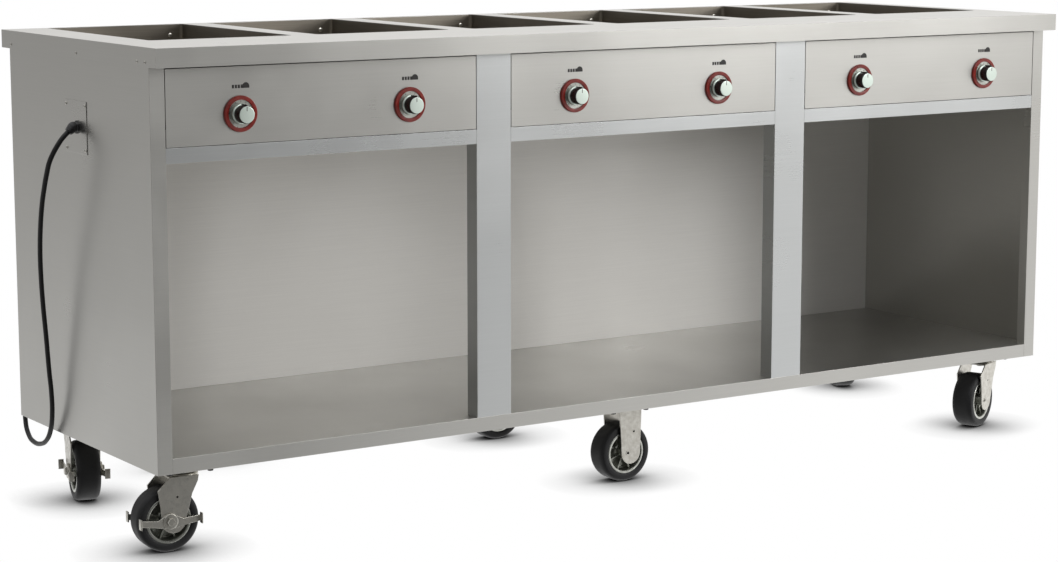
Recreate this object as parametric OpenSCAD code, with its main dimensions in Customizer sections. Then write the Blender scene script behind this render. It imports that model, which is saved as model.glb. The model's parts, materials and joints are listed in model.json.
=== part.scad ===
// Six-well steam table on casters: a stainless steel counter with six heated
// wells, a control panel over each of three open bays and a storage shelf.
// Millimetres, +Z up, origin on the floor under the middle of the counter,
// front of the unit towards -Y.

/* [Counter] */
// Length of the counter top, side to side
top_l = 2290; // [2260:5:2400]
// Depth of the counter top, front to back
top_d = 748; // [740:2:780]
// Height of the counter top above the floor
top_h = 978; // [960:1:1000]
// Height of the counter's folded edge
lip_h = 37; // [25:1:50]
// Thickness of the counter's sheet
top_t = 1.5; // [1.2:0.1:2]

/* [Cabinet] */
// Length of the cabinet under the counter
cab_l = 2284; // [2250:2:2290]
// Depth of the cabinet
cab_d = 676; // [660:2:700]
// Height of the cabinet's underside above the floor
cab_z = 165; // [165:1:165]
// Thickness of the cabinet's sheets
sheet = 1.2; // [0.8:0.1:1.5]
// Width of the folded stile at each front corner
stile_w = 31; // [25:1:40]
// Width of each middle post
post_w = 82; // [60:2:100]
// Depth of the return flanges of the posts
post_flange = 38; // [20:1:50]
// Height of the shelf's front apron
apron_h = 30; // [25:1:40]
// Depth of the clear storage space behind the front
storage_d = 608; // [560:2:620]

/* [Control panels] */
// Height of the upper rail's lower edge above the floor
rail_z = 759; // [740:1:770]
// Height of the upper rail's face
rail_h = 29; // [20:1:40]
// Height of the knob axes above the floor
knob_z = 846; // [830:1:860]
// Distance of each knob from the middle of its bay
knob_gap = 186.5; // [150:0.5:220]
// Diameter of the dial bezel
bezel_d = 70; // [60:1:80]

/* [Wells] */
// Width of each pan opening
well_w = 312; // [300:1:318]
// Depth of each pan opening, front to back
well_d = 508; // [480:1:510]
// Depth of each well below the counter
well_deep = 165; // [120:5:170]
// Distance between the middles of neighbouring wells
well_pitch = 369; // [360:1:370]
// Middle of the first well, from the middle of the unit
well_first = -893; // [-900:1:-880]
// Distance from the wells' rear edges to the counter's rear edge
well_rear = 9; // [6:1:20]

/* [Casters] */
// Radius of the wheels
wheel_r = 63.5; // [63.5:0.5:63.5]
// Width of the tyres
tyre_w = 50; // [44:1:52]
// Distance the wheel trails behind its swivel
trail = 38; // [30:1:42]
// Distance of the corner casters from the middle of the unit
caster_x = 1052; // [1000:1:1060]
// Distance of the front casters in front of the middle
caster_front = 267; // [255:1:270]
// Distance of the rear casters behind the middle
caster_rear = 240; // [236:1:260]
// Angle that each corner caster is turned to: front left, front right, rear left, rear right
heading = [-5, 22, 77, -114];

/* [Power cord] */
// Diameter of the power cord
cord_d = 10; // [9:0.5:10]

/* [Hidden] */
$fn = 48;

STEEL = [0.72, 0.72, 0.71];
DARK_STEEL = [0.45, 0.44, 0.42];
ZINC = [0.6, 0.6, 0.56];
BLACK = [0.04, 0.04, 0.04];
COPPER = [0.62, 0.2, 0.12];

// The cabinet's outer faces
left = -cab_l / 2;
right = cab_l / 2;
front = -337;
back = front + cab_d;
under_top = top_h - top_t;
shelf_z = cab_z + apron_h;
bay_w = (cab_l - 2 * stile_w - 2 * post_w) / 3;
bay_pitch = bay_w + post_w;
panel_z = rail_z + rail_h;
panel_top = top_h - lip_h - 3.5;
liner_y = front + storage_d;

// Wells
well_back = top_d / 2 - well_rear;
well_front = well_back - well_d;
corner_r = 8;
tub_t = 1.2;
function well_x(i) = well_first + (i - 1) * well_pitch;

// Knobs 1 to 6, from left to right
function knob_x(i) = (floor((i - 1) / 2) - 1) * bay_pitch + (i % 2 == 1 ? -knob_gap : knob_gap);
stem_r = 3;
run_gap = 0.05;
body_gap = 0.3;

// Casters, in the order of the angles above; the middle pair don't swivel.
// They were bolted on by hand, so the corners aren't quite alike.
CORNERS = [[-caster_x - 8, -caster_front - 3], [caster_x - 8, -caster_front + 7],
           [-caster_x - 1, caster_rear - 2], [caster_x, caster_rear]];
MIDDLES = [[-18, -caster_front], [-18, caster_rear]];
plate_t = 4;
plate_x = 114;
plate_y = 102;
bolt_x = 43;
bolt_y = 36.5;
fork_in = 28.5;
fork_t = 3;
fork_out = fork_in + fork_t;
crown_z = 146;
axle_r = 5;
tread_r = 46;
rim_half = tyre_w / 2 - 1.5;
lever_t = 5;

// Inlet on the left end panel
inlet_y = 5;
inlet_z = 804;
gland_y = -2;
nose_tilt = 40;
nose_len = 14;
inlet_r = 8;

// Power cord: hand-laid points from the gland, down the left side, up over
// the hook on the back, down to the floor and into the coil
hook = [-900, 300];
coil = [-745, 415];
coil_in = 45;
coil_out = 65;
CORD = [
    [-1163, -2, 795], [-1175, -1, 783], [-1185, 2, 768], [-1192, 7, 753],
    [-1197, 14, 736], [-1199, 24, 713], [-1200, 38, 680], [-1200, 50, 650], [-1198, 67, 600],
    [-1194, 82, 555], [-1189, 94, 505], [-1183, 103, 445], [-1175, 110, 370],
    [-1168, 117, 300], [-1163, 120, 250], [-1158, 132, 203], [-1154, 152, 168],
    [-1150, 185, 140], [-1145, 232, 123], [-1139, 282, 118], [-1133, 322, 124],
    [-1128, 350, 146], [-1122, 360, 180], [-1102, 359, 217], [-1062, 358, 258],
    [-1010, 357, 293], [-955, 357, 323], [-922, 357, 341], [-900, 357, 346],
    [-877, 357, 340], [-860, 357, 323], [-854, 357, 300], [-854, 357, 230],
    [-854, 357, 150], [-854, 356, 85], [-844, 354, 36], [-818, 352, 10],
    [-785, 350, 5], [-745, 350, 5]
];

// ---- small helpers ------------------------------------------------------

// A box from its lowest corner to its highest
module box(low, high) {
    translate(low) cube(high - low);
}

// A rectangle with true arcs at its corners
module rounded_rect(w, d, r) {
    square([w - 2 * r, d], center = true);
    square([w, d - 2 * r], center = true);
    for (x = [-1, 1], y = [-1, 1])
        translate([x * (w / 2 - r), y * (d / 2 - r)]) circle(r);
}

// A cylinder along Y
module rod_y(x, y0, y1, z, r) {
    translate([x, y0, z]) rotate([-90, 0, 0]) cylinder(r = r, h = y1 - y0);
}

// A cylinder along X
module rod_x(x0, x1, y, z, r) {
    translate([x0, y, z]) rotate([0, 90, 0]) cylinder(r = r, h = x1 - x0);
}

// ---- counter and cabinet ------------------------------------------------

module counter_top() {
    half_l = top_l / 2;
    half_d = top_d / 2;
    lip_z = top_h - lip_h;
    color(STEEL) difference() {
        union() {
            box([-half_l, -half_d, under_top], [half_l, half_d, top_h]);
            for (s = [-1, 1])
                box([min(s * half_l, s * (half_l - top_t)), -half_d, lip_z],
                    [max(s * half_l, s * (half_l - top_t)), half_d, top_h]);
            for (s = [-1, 1])
                box([-half_l, min(s * half_d, s * (half_d - top_t)), lip_z],
                    [half_l, max(s * half_d, s * (half_d - top_t)), top_h]);
            box([-half_l, -half_d, lip_z], [half_l, front, lip_z + top_t]);
        }
        for (i = [1:6])
            translate([well_x(i), (well_front + well_back) / 2, under_top - 1])
                linear_extrude(top_t + 2) rounded_rect(well_w, well_d, corner_r);
    }
}

// An end panel with its front stile, rear flange and floor flange folded in
module end_panel(s) {
    flange = 25;
    color(STEEL) mirror([s > 0 ? 1 : 0, 0, 0]) union() {
        difference() {
            box([left, front, cab_z], [left + sheet, back, under_top]);
            if (s < 0) rod_x(left - 1, left + sheet + 1, gland_y, inlet_z, inlet_r);
        }
        box([left, front, cab_z], [left + stile_w, front + sheet, under_top]);
        box([left + stile_w - sheet, front, shelf_z], [left + stile_w, front + flange, rail_z]);
    }
}

// The inner lining at the back of the storage space
module back_panel() {
    flange = 20;
    color(DARK_STEEL) union() {
        box([left + sheet, liner_y, shelf_z], [right - sheet, liner_y + sheet, rail_z + sheet]);
        box([left + sheet, liner_y, rail_z], [right - sheet, liner_y + flange, rail_z + sheet]);
    }
}

// The outer back, with a deeper box at the top that covers the wells
module rear_panel() {
    box_x = right - 30;
    box_y = top_d / 2 - top_t;
    color(STEEL) union() {
        box([left + sheet, back - sheet, cab_z], [right - sheet, back, rail_z]);
        for (s = [-1, 1])
            box([min(s * box_x, s * (right - sheet)), back - sheet, rail_z - sheet],
                [max(s * box_x, s * (right - sheet)), back, under_top]);
        for (s = [-1, 1])
            box([min(s * box_x, s * (box_x - sheet)), back - sheet, rail_z - sheet],
                [max(s * box_x, s * (box_x - sheet)), box_y, under_top]);
        box([-box_x, back - sheet, rail_z - sheet], [box_x, box_y, rail_z]);
        box([-box_x, box_y - sheet, rail_z - sheet], [box_x, box_y, under_top]);
    }
}

// The storage shelf, folded down at the front as the lower rail
module bottom_shelf() {
    color(STEEL) union() {
        box([left + sheet, front + sheet, shelf_z - sheet], [right - sheet, back - sheet, shelf_z]);
        box([left + stile_w, front, cab_z], [right - stile_w, front + sheet, shelf_z]);
        box([left + stile_w, front, cab_z], [right - stile_w, front + 22, cab_z + sheet]);
    }
}

// Three channels under the shelf that the casters bolt to
module base_channels() {
    w = 130;
    t = 2;
    color(ZINC) for (x = [-caster_x, MIDDLES[0][0], caster_x])
        difference() {
            box([x - w / 2, front + 24, cab_z], [x + w / 2, back - 2 * sheet, shelf_z - sheet]);
            box([x - w / 2 + t, front + 23, cab_z + t], [x + w / 2 - t, back, shelf_z]);
        }
}

// The pan that closes the wells' space from below
module belly_pan() {
    color(DARK_STEEL)
        box([left + sheet, front + post_flange + 1, rail_z + sheet],
            [right - sheet, back - sheet, rail_z + 2 * sheet]);
}

module mid_posts() {
    color(STEEL) for (s = [-1, 1]) translate([s * bay_pitch / 2, 0, 0]) union() {
        box([-post_w / 2, front, shelf_z], [post_w / 2, front + sheet, under_top]);
        for (e = [-1, 1])
            box([min(e * post_w / 2, e * (post_w / 2 - sheet)), front, shelf_z],
                [max(e * post_w / 2, e * (post_w / 2 - sheet)), front + post_flange, under_top]);
    }
}

// The rail under each control panel
module front_rails() {
    depth = 42;
    color(STEEL) for (b = [-1:1]) translate([b * bay_pitch, 0, 0]) union() {
        box([-bay_w / 2, front, rail_z], [bay_w / 2, front + sheet, panel_z]);
        box([-bay_w / 2, front, rail_z], [bay_w / 2, front + depth, rail_z + sheet]);
    }
}

// ---- control panels -----------------------------------------------------

module control_panel(b) {
    fold = 14;
    color(STEEL) difference() {
        translate([b * bay_pitch, 0, 0]) union() {
            box([-bay_w / 2, front, panel_z], [bay_w / 2, front + sheet, panel_top]);
            box([-bay_w / 2, front, panel_z], [bay_w / 2, front + fold, panel_z + sheet]);
            box([-bay_w / 2, front, panel_top - sheet], [bay_w / 2, front + fold, panel_top]);
        }
        for (i = [1:6]) rod_y(knob_x(i), front - 1, front + sheet + 1, knob_z, 6);
    }
}

// Bezel ring round a lower dial face, one behind each knob
module knob_bezels() {
    color(COPPER) for (i = [1:6]) difference() {
        rod_y(knob_x(i), front - 5, front, knob_z, bezel_d / 2);
        rod_y(knob_x(i), front - 6, front - 2.5, knob_z, bezel_d / 2 - 9);
        rod_y(knob_x(i), front - 3, front + 1, knob_z, 6);
    }
}

// The infinite switch behind each knob
module heat_switches() {
    half = 20;
    deep = 34;
    y0 = front + sheet;
    color([0.85, 0.83, 0.76]) for (i = [1:6]) difference() {
        union() {
            box([knob_x(i) - half, y0 + 2, knob_z - half], [knob_x(i) + half, y0 + deep, knob_z + half]);
            rod_y(knob_x(i), y0, y0 + 3, knob_z, 10);
        }
        rod_y(knob_x(i), y0 - 1, y0 + 12, knob_z, stem_r + run_gap);
    }
}

// A knob: skirt with a pointer ridge, a body, and its stem
module knob(i) {
    skirt_r = 20;
    skirt_t = 6;
    body_r = 18;
    ridge_w = 3;
    y_skirt = front - 3;
    color(BLACK) union() {
        rod_y(knob_x(i), y_skirt - skirt_t, y_skirt, knob_z, skirt_r);
        rod_y(knob_x(i), y_skirt - 25, y_skirt - 5, knob_z, body_r);
        box([knob_x(i) - ridge_w / 2, y_skirt - 24, knob_z + body_r - 3],
            [knob_x(i) + ridge_w / 2, y_skirt - 5, knob_z + skirt_r - 0.5]);
        rod_y(knob_x(i), y_skirt - 1, front + sheet + 10, knob_z, stem_r);
    }
}

// ---- wells --------------------------------------------------------------

// An open tub hung under its opening
module well_tub(i) {
    color(DARK_STEEL) translate([well_x(i), (well_front + well_back) / 2, under_top - well_deep])
        difference() {
            linear_extrude(well_deep)
                rounded_rect(well_w + 2 * tub_t, well_d + 2 * tub_t, corner_r + tub_t);
            translate([0, 0, tub_t])
                linear_extrude(well_deep) rounded_rect(well_w, well_d, corner_r);
        }
}

// A hairpin element under each tub, on two clamps
module heating_elements() {
    rod_r = 4;
    half_w = 90;
    run = 380;
    y0 = well_front + 20;
    z = under_top - well_deep - 8;
    color([0.3, 0.26, 0.22]) for (i = [1:6]) translate([well_x(i), 0, 0]) union() {
        for (s = [-1, 1]) rod_y(s * half_w, y0, y0 + run, z, rod_r);
        translate([0, y0 + run, z]) rotate_extrude(angle = 180)
            translate([half_w, 0]) circle(rod_r);
        for (y = [y0 + 40, y0 + run - 40])
            box([-half_w - 10, y - 8, z - rod_r - 2], [half_w + 10, y + 8, z + 8]);
    }
}

// ---- casters ------------------------------------------------------------

// Puts a part drawn with its wheel trailing towards -X at a corner
module at_corner(c) {
    translate([CORNERS[c][0], CORNERS[c][1], 0]) rotate([0, 0, heading[c]]) children();
}

// The side of a fork: a leg from the crown to the boss round the axle
module fork_side(axle_x, outline) {
    difference() {
        union() {
            translate([axle_x + 8, wheel_r]) circle(24);
            polygon(outline);
        }
        translate([axle_x, wheel_r]) circle(axle_r);
    }
}

// Both legs of a fork, standing either side of the wheel
module fork_legs(axle_x, outline) {
    for (s = [-1, 1]) translate([0, s > 0 ? fork_out : -fork_in, 0]) rotate([90, 0, 0])
        linear_extrude(fork_t) fork_side(axle_x, outline);
}

// Fixed half of each swivel: mounting plate, upper race, kingpin and its nut
module caster_plates() {
    race_z = 153.5;
    color(ZINC) for (c = [0:3]) translate([CORNERS[c][0], CORNERS[c][1], 0]) union() {
        translate([-plate_x / 2, -plate_y / 2, cab_z - plate_t]) cube([plate_x, plate_y, plate_t]);
        translate([0, 0, race_z]) cylinder(r = 34, h = cab_z - plate_t - race_z);
        translate([0, 0, crown_z - 2]) cylinder(r = 6, h = race_z - crown_z + 3);
        translate([0, 0, crown_z - body_gap - 7]) cylinder(r = 10, h = 7);
    }
}

module swivel_fork(c) {
    top = crown_z + fork_t;
    color(ZINC) at_corner(c) union() {
        fork_legs(-trail, [[-37, top], [-61, 124], [-56, 90], [-trail - 16, wheel_r],
                           [-trail + 32, wheel_r], [0, 84], [8, 114], [20, 138], [22, top]]);
        difference() {
            union() {
                box([-37, -fork_out, crown_z], [22, fork_out, top]);
                translate([0, 0, crown_z]) cylinder(r = 31, h = 153.5 - body_gap - crown_z);
            }
            translate([0, 0, crown_z - 1]) cylinder(r = 6 + run_gap, h = 20);
        }
    }
}

// The two forks that don't swivel, each with its own plate
module rigid_forks() {
    top = crown_z + fork_t;
    color(ZINC) for (m = MIDDLES) translate([m[0], m[1], 0]) union() {
        fork_legs(0, [[-22, top], [-17, 90], [-16, wheel_r], [32, wheel_r], [33, 90], [35, top]]);
        for (s = [-1, 1])
            box([-22, min(s * fork_in, s * fork_out), crown_z], [35, max(s * fork_in, s * fork_out), cab_z - 1]);
        translate([-plate_x / 2, -plate_y / 2, cab_z - plate_t]) cube([plate_x, plate_y, plate_t]);
    }
}

// A wheel's core about its own axle, along Y
module core_shape() {
    hub = fork_in - body_gap;
    difference() {
        union() {
            rotate([-90, 0, 0]) rotate_extrude() polygon([
                [0, -hub], [12, -hub], [14, -5], [38, -3], [40, -rim_half], [tread_r, -rim_half],
                [tread_r, rim_half], [40, rim_half], [38, 3], [14, 5], [12, hub], [0, hub]]);
            for (a = [0:45:315]) rotate([0, a, 0]) box([10, -18, -1.5], [40, 18, 1.5]);
        }
        rod_y(0, -hub - 1, hub + 1, 0, axle_r + run_gap);
    }
}

module tyre_shape() {
    half = tyre_w / 2;
    rotate([-90, 0, 0]) rotate_extrude() polygon([
        [tread_r, -rim_half], [tread_r + 2, -half], [wheel_r - 6.5, -half],
        [wheel_r - 3, -half + 2.4], [wheel_r - 0.9, -half + 6.4], [wheel_r, -half + 11],
        [wheel_r, half - 11], [wheel_r - 0.9, half - 6.4], [wheel_r - 3, half - 2.4],
        [wheel_r - 6.5, half], [tread_r + 2, half], [tread_r, rim_half]]);
}

module wheel_core(c) {
    color(ZINC) at_corner(c) translate([-trail, 0, wheel_r]) core_shape();
}

module middle_core(m) {
    color(ZINC) translate([MIDDLES[m][0], MIDDLES[m][1], wheel_r]) core_shape();
}

module tyre(c) {
    color(BLACK) at_corner(c) translate([-trail, 0, wheel_r]) tyre_shape();
}

module middle_tyre(m) {
    color(BLACK) translate([MIDDLES[m][0], MIDDLES[m][1], wheel_r]) tyre_shape();
}

// An axle; a bolted one has a head and a nut outside reach
module axle_shape(reach, bolted) {
    rod_y(0, -reach, reach, 0, axle_r);
    if (bolted)
        for (s = [-1, 1])
            rod_y(0, min(s * reach, s * (reach + 5)), max(s * reach, s * (reach + 5)), 0, 8.5);
}

// The braked casters' axles are bolts that carry the levers; the rest are pins
module axle(c) {
    braked = c % 2 == 0;
    reach = braked ? fork_out + lever_t + 2 * body_gap : fork_out + 0.8;
    color(ZINC) at_corner(c) translate([-trail, 0, wheel_r]) axle_shape(reach, braked);
}

module rigid_axles() {
    color(ZINC) for (m = MIDDLES) translate([m[0], m[1], wheel_r]) axle_shape(fork_out + 0.8, false);
}

// A side brake: a rocking bar on each side of the wheel, with turned-out toes
module brake_lever(c) {
    y0 = fork_out + body_gap;
    toe = 11.5;
    reach = 63;
    color(ZINC) at_corner(c) translate([-trail, 0, wheel_r]) for (s = [-1, 1])
        mirror([0, s > 0 ? 1 : 0, 0]) difference() {
            union() {
                rod_y(0, -y0 - lever_t, -y0, 0, 16);
                box([-reach, -y0 - 3, -8], [reach, -y0, 4]);
                for (e = [-1, 1]) translate([e * reach, 0, 0])
                    box([-2, -y0 - toe, -9], [2, -y0, 12]);
            }
            rod_y(0, -y0 - lever_t - 1, -y0 + 1, 0, axle_r + run_gap);
        }
}

// ---- fasteners ----------------------------------------------------------

module screws_and_bolts() {
    plate_out = left - sheet;
    color(ZINC) union() {
        // inlet plate
        for (y = [-45, 45], z = [-44, 44])
            rod_x(plate_out - 2, plate_out, inlet_y + y, inlet_z + z, 3.5);
        // counter's left edge
        for (y = [-327, -292, -10, 323])
            rod_x(-top_l / 2 - 1.5, -top_l / 2, y, top_h - lip_h + 9, 3);
        // thermostat clip in each well
        for (i = [1:6]) rod_y(well_x(i) + 128, well_back - 2.5, well_back, top_h - 24, 5);
        // caster bolts
        for (p = concat(CORNERS, MIDDLES), x = [-bolt_x, bolt_x], y = [-bolt_y, bolt_y])
            translate([p[0] + x, p[1] + y, cab_z - plate_t - 6]) cylinder(r = 6.5, h = 6);
    }
}

// ---- power inlet, cord and plug -----------------------------------------

module inlet_plate() {
    half = 52;
    color(STEEL) difference() {
        box([left - sheet, inlet_y - half, inlet_z - half], [left, inlet_y + half, inlet_z + half]);
        rod_x(left - 2 * sheet, left + 1, gland_y, inlet_z, inlet_r);
    }
}

// Strain relief: a nut on the plate, a dome, and a nose that turns the cord down
module cord_gland() {
    face = left - sheet;
    color(BLACK) union() {
        rod_x(face - 5, face, gland_y, inlet_z, 13);
        translate([left - 10, gland_y, inlet_z]) sphere(r = 11);
        translate([left - 10, gland_y, inlet_z]) rotate([0, -90 - nose_tilt, 0])
            cylinder(r1 = 10.5, r2 = 7.5, h = nose_len);
        rod_x(face - 1, left + 14, gland_y, inlet_z, inlet_r - 0.1);
    }
}

// Saddle on the back that carries the cord clear of the wheels
module cord_hook() {
    saddle_r = 40;
    y0 = back + 2;
    y1 = back + 30;
    color(ZINC) translate([hook[0], 0, hook[1]]) union() {
        box([-22, back, -30], [22, y0, saddle_r]);
        difference() {
            union() {
                rod_y(0, y0, y1, 0, saddle_r);
                rod_y(0, y1, y1 + 2, 0, saddle_r + 9);
            }
            rod_y(0, y0 - 1, y1 + 3, 0, saddle_r - 2.5);
            box([-60, y0 - 1, -60], [60, y1 + 3, 0]);
        }
        box([-3, back, saddle_r - 6], [3, y1, saddle_r - 1]);
    }
}

function unit(v) = v / norm(v);

// A point on the smooth curve through four neighbouring points, at t from 0 to 1
function between(a, b, c, d, t) =
    b + (c - a) * t / 2 + (a - 2.5 * b + 2 * c - d / 2) * t * t
    + ((d - a) / 2 + 1.5 * (b - c)) * t * t * t;

function smooth(p, steps) = concat(
    [for (i = [0:len(p) - 2], s = [0:steps - 1])
        between(p[max(i - 1, 0)], p[i], p[i + 1], p[min(i + 2, len(p) - 1)], s / steps)],
    [p[len(p) - 1]]);

// The direction along a path at each of its points
function along(p) = [for (i = [0:len(p) - 1])
    i == 0 ? [-cos(nose_tilt), 0, -sin(nose_tilt)] : i == len(p) - 1 ? [1, 0, 0] : unit(p[i + 1] - p[i - 1])];

// Side vectors carried along the path without twisting
function carried(sides, dirs) = len(sides) == len(dirs) ? sides :
    carried(concat(sides, [let (d = dirs[len(sides)], s = sides[len(sides) - 1]) unit(s - d * (s * d))]), dirs);

// A round tube of n sides swept along a path
module tube(path, r, n) {
    dirs = along(path);
    sides = carried([[0, 0, 1]], dirs);
    rings = len(path);
    points = [for (i = [0:rings - 1], j = [0:n - 1])
        path[i] + r * (cos(j * 360 / n) * sides[i] + sin(j * 360 / n) * cross(dirs[i], sides[i]))];
    walls = [for (i = [0:rings - 2], j = [0:n - 1])
        let (a = i * n + j, b = i * n + (j + 1) % n) each [[a, b, b + n], [a, b + n, a + n]]];
    ends = [[for (j = [n - 1:-1:0]) j], [for (j = [0:n - 1]) (rings - 1) * n + j]];
    polyhedron(points = points, faces = concat([for (f = walls) [f[2], f[1], f[0]]],
        [for (f = ends) [for (k = [len(f) - 1:-1:0]) f[k]]]), convexity = 10);
}

module power_cord() {
    color(BLACK) tube(smooth(CORD, 2), cord_d / 2, 10);
}

// Outer shape of the coil: two turns side by side, in two layers
module cord_coil() {
    r0 = coil_in - cord_d / 2;
    r1 = coil_out + cord_d / 2;
    color(BLACK) translate([coil[0], coil[1], 0]) difference() {
        cylinder(r = r1, h = 2 * cord_d);
        translate([0, 0, -1]) cylinder(r = r0, h = 2 * cord_d + 2);
    }
}

// Plug on the coil's last turn, lying on the floor
module power_plug() {
    y = coil[1] - coil_out;
    z = 1.5 * cord_d;
    x_relief = coil[0] + 45;
    x_body = x_relief + 35;
    x_face = x_body + 38;
    color(BLACK) union() {
        rod_x(coil[0] + 1, x_relief + 1, y, z, cord_d / 2);
        translate([x_relief, y, z]) rotate([0, 90, 0]) cylinder(r1 = 6, r2 = 9, h = 36);
        rod_x(x_body, x_face, y, z, 15);
        for (s = [-1, 1])
            box([x_face - 1, y + s * 6.35 - 0.75, z - 1], [x_face + 17, y + s * 6.35 + 0.75, z + 5.3]);
        rod_x(x_face - 1, x_face + 19, y, z - 8, 2.4);
    }
}

// ---- nodes --------------------------------------------------------------

counter_top();
end_panel(-1);  // left_end_panel
end_panel(1);  // right_end_panel
back_panel();
rear_panel();
bottom_shelf();
base_channels();
belly_pan();
mid_posts();
front_rails();
control_panel(-1);  // control_panel_left
control_panel(0);  // control_panel_middle
control_panel(1);  // control_panel_right
well_tub(1);  // well_tub_1
well_tub(2);  // well_tub_2
well_tub(3);  // well_tub_3
well_tub(4);  // well_tub_4
well_tub(5);  // well_tub_5
well_tub(6);  // well_tub_6
heating_elements();
knob_bezels();
heat_switches();
knob(1);  // knob_1
knob(2);  // knob_2
knob(3);  // knob_3
knob(4);  // knob_4
knob(5);  // knob_5
knob(6);  // knob_6
caster_plates();
screws_and_bolts();
swivel_fork(0);  // swivel_fork_front_left
swivel_fork(1);  // swivel_fork_front_right
swivel_fork(2);  // swivel_fork_rear_left
swivel_fork(3);  // swivel_fork_rear_right
rigid_forks();
wheel_core(0);  // wheel_core_front_left
wheel_core(1);  // wheel_core_front_right
wheel_core(2);  // wheel_core_rear_left
wheel_core(3);  // wheel_core_rear_right
middle_core(0);  // wheel_core_front_middle
middle_core(1);  // wheel_core_rear_middle
tyre(0);  // tyre_front_left
tyre(1);  // tyre_front_right
tyre(2);  // tyre_rear_left
tyre(3);  // tyre_rear_right
middle_tyre(0);  // tyre_front_middle
middle_tyre(1);  // tyre_rear_middle
axle(0);  // axle_front_left
axle(1);  // axle_front_right
axle(2);  // axle_rear_left
axle(3);  // axle_rear_right
rigid_axles();
brake_lever(0);  // brake_lever_front_left
brake_lever(2);  // brake_lever_rear_left
inlet_plate();
cord_gland();
cord_hook();
power_cord();
cord_coil();
power_plug();
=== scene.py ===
# %% [markdown]
# # A six-well steam table on casters
# A steam table keeps pans of food hot in a row of heated wells. This one is a
# long stainless steel counter over three open bays, on six casters. Its frame,
# with every part's place and every joint, is already made. This lesson loads
# that frame and gives each part the shape and finish of the real thing.

import json
import math

import bmesh
import bpy
from mathutils import Matrix, Vector

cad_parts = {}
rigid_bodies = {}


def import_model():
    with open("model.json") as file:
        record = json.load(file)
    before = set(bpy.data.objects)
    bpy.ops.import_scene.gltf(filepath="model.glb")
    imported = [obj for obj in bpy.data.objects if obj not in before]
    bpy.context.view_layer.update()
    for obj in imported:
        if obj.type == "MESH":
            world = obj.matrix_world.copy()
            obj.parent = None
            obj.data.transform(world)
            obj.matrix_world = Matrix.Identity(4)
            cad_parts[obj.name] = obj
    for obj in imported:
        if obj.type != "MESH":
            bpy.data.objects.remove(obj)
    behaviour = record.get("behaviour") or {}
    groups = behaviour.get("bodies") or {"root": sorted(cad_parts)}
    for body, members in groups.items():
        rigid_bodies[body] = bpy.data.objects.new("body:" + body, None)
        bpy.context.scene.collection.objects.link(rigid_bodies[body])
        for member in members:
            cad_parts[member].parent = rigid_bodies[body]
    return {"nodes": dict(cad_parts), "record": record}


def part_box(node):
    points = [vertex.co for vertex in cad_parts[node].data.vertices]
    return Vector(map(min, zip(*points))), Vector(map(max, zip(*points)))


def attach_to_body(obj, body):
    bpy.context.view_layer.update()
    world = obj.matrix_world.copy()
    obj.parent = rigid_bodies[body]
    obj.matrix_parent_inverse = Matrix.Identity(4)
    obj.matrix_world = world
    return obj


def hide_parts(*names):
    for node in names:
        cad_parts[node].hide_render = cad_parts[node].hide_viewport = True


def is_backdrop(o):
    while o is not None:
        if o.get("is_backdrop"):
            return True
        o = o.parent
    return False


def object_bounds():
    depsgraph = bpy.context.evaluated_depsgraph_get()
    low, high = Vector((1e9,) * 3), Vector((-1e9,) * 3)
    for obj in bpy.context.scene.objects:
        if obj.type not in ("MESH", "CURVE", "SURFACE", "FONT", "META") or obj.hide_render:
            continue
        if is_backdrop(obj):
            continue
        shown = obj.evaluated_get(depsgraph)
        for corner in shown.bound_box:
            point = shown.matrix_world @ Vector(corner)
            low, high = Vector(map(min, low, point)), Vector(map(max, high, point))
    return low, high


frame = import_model()
record = frame["record"]
cad_nodes = frame["nodes"]
frame_box = [list(corner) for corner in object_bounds()]

# %% [markdown]
# Each part of the frame belongs to one moving body and takes one finish. A
# small dictionary keeps the body, so that a new piece can follow the part that it
# stands for without it being written twice.

# %% Which body each part has
BODY_OF = {
    node: body
    for body, members in record["behaviour"]["bodies"].items()
    for node in members
}


def settle(piece, *nodes):
    """The piece takes the place of these parts and moves as they do."""
    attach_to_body(piece, BODY_OF[nodes[0]])
    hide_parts(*nodes)
    return piece


def attach(piece, body):
    """The piece is a detail that stands for no part of its own."""
    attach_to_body(piece, body)
    return piece


print("parts with a body:", len(BODY_OF))

# %% [markdown]
# ## The camera
# The whole unit shows best from beyond one corner, a little above the counter,
# with a long lens so that the far end doesn't shrink too much.
# The camera is placed first, because it decides where spare cord can be put
# away out of sight.

# %% Camera
CAMERA_AT = (-3.1373, -4.6516, 1.2753)
CAMERA_TURN = math.radians(33.34)
CAMERA_DIP = math.radians(8.88)
camera_data = bpy.data.cameras.new("Camera")
camera_data.lens = 86.3
camera_data.sensor_width = 36
camera_data.clip_end = 60
camera = bpy.data.objects.new("Camera", camera_data)
bpy.context.scene.collection.objects.link(camera)
camera.location = CAMERA_AT
looking = Vector(
    (
        math.sin(CAMERA_TURN) * math.cos(CAMERA_DIP),
        math.cos(CAMERA_TURN) * math.cos(CAMERA_DIP),
        -math.sin(CAMERA_DIP),
    )
)
camera.rotation_euler = looking.to_track_quat("-Z", "Y").to_euler()
bpy.context.scene.camera = camera
bpy.context.scene.view_settings.view_transform = "Standard"
print("camera at", CAMERA_AT)

# %% [markdown]
# ## Helpers for colours and node trees
# Colours are picked as sRGB hex values, as in any paint program, but shaders
# add and multiply light, so they need linear values. The second helper adds a
# node, sets it up and links it in one line, which keeps trees short to read.

# %% Colour and node helpers


def linear(hex_colour):
    """An sRGB hex colour as linear RGBA."""
    parts = [int(hex_colour[i : i + 2], 16) / 255 for i in (1, 3, 5)]
    return tuple(
        c / 12.92 if c <= 0.04045 else ((c + 0.055) / 1.055) ** 2.4 for c in parts
    ) + (1.0,)


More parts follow.
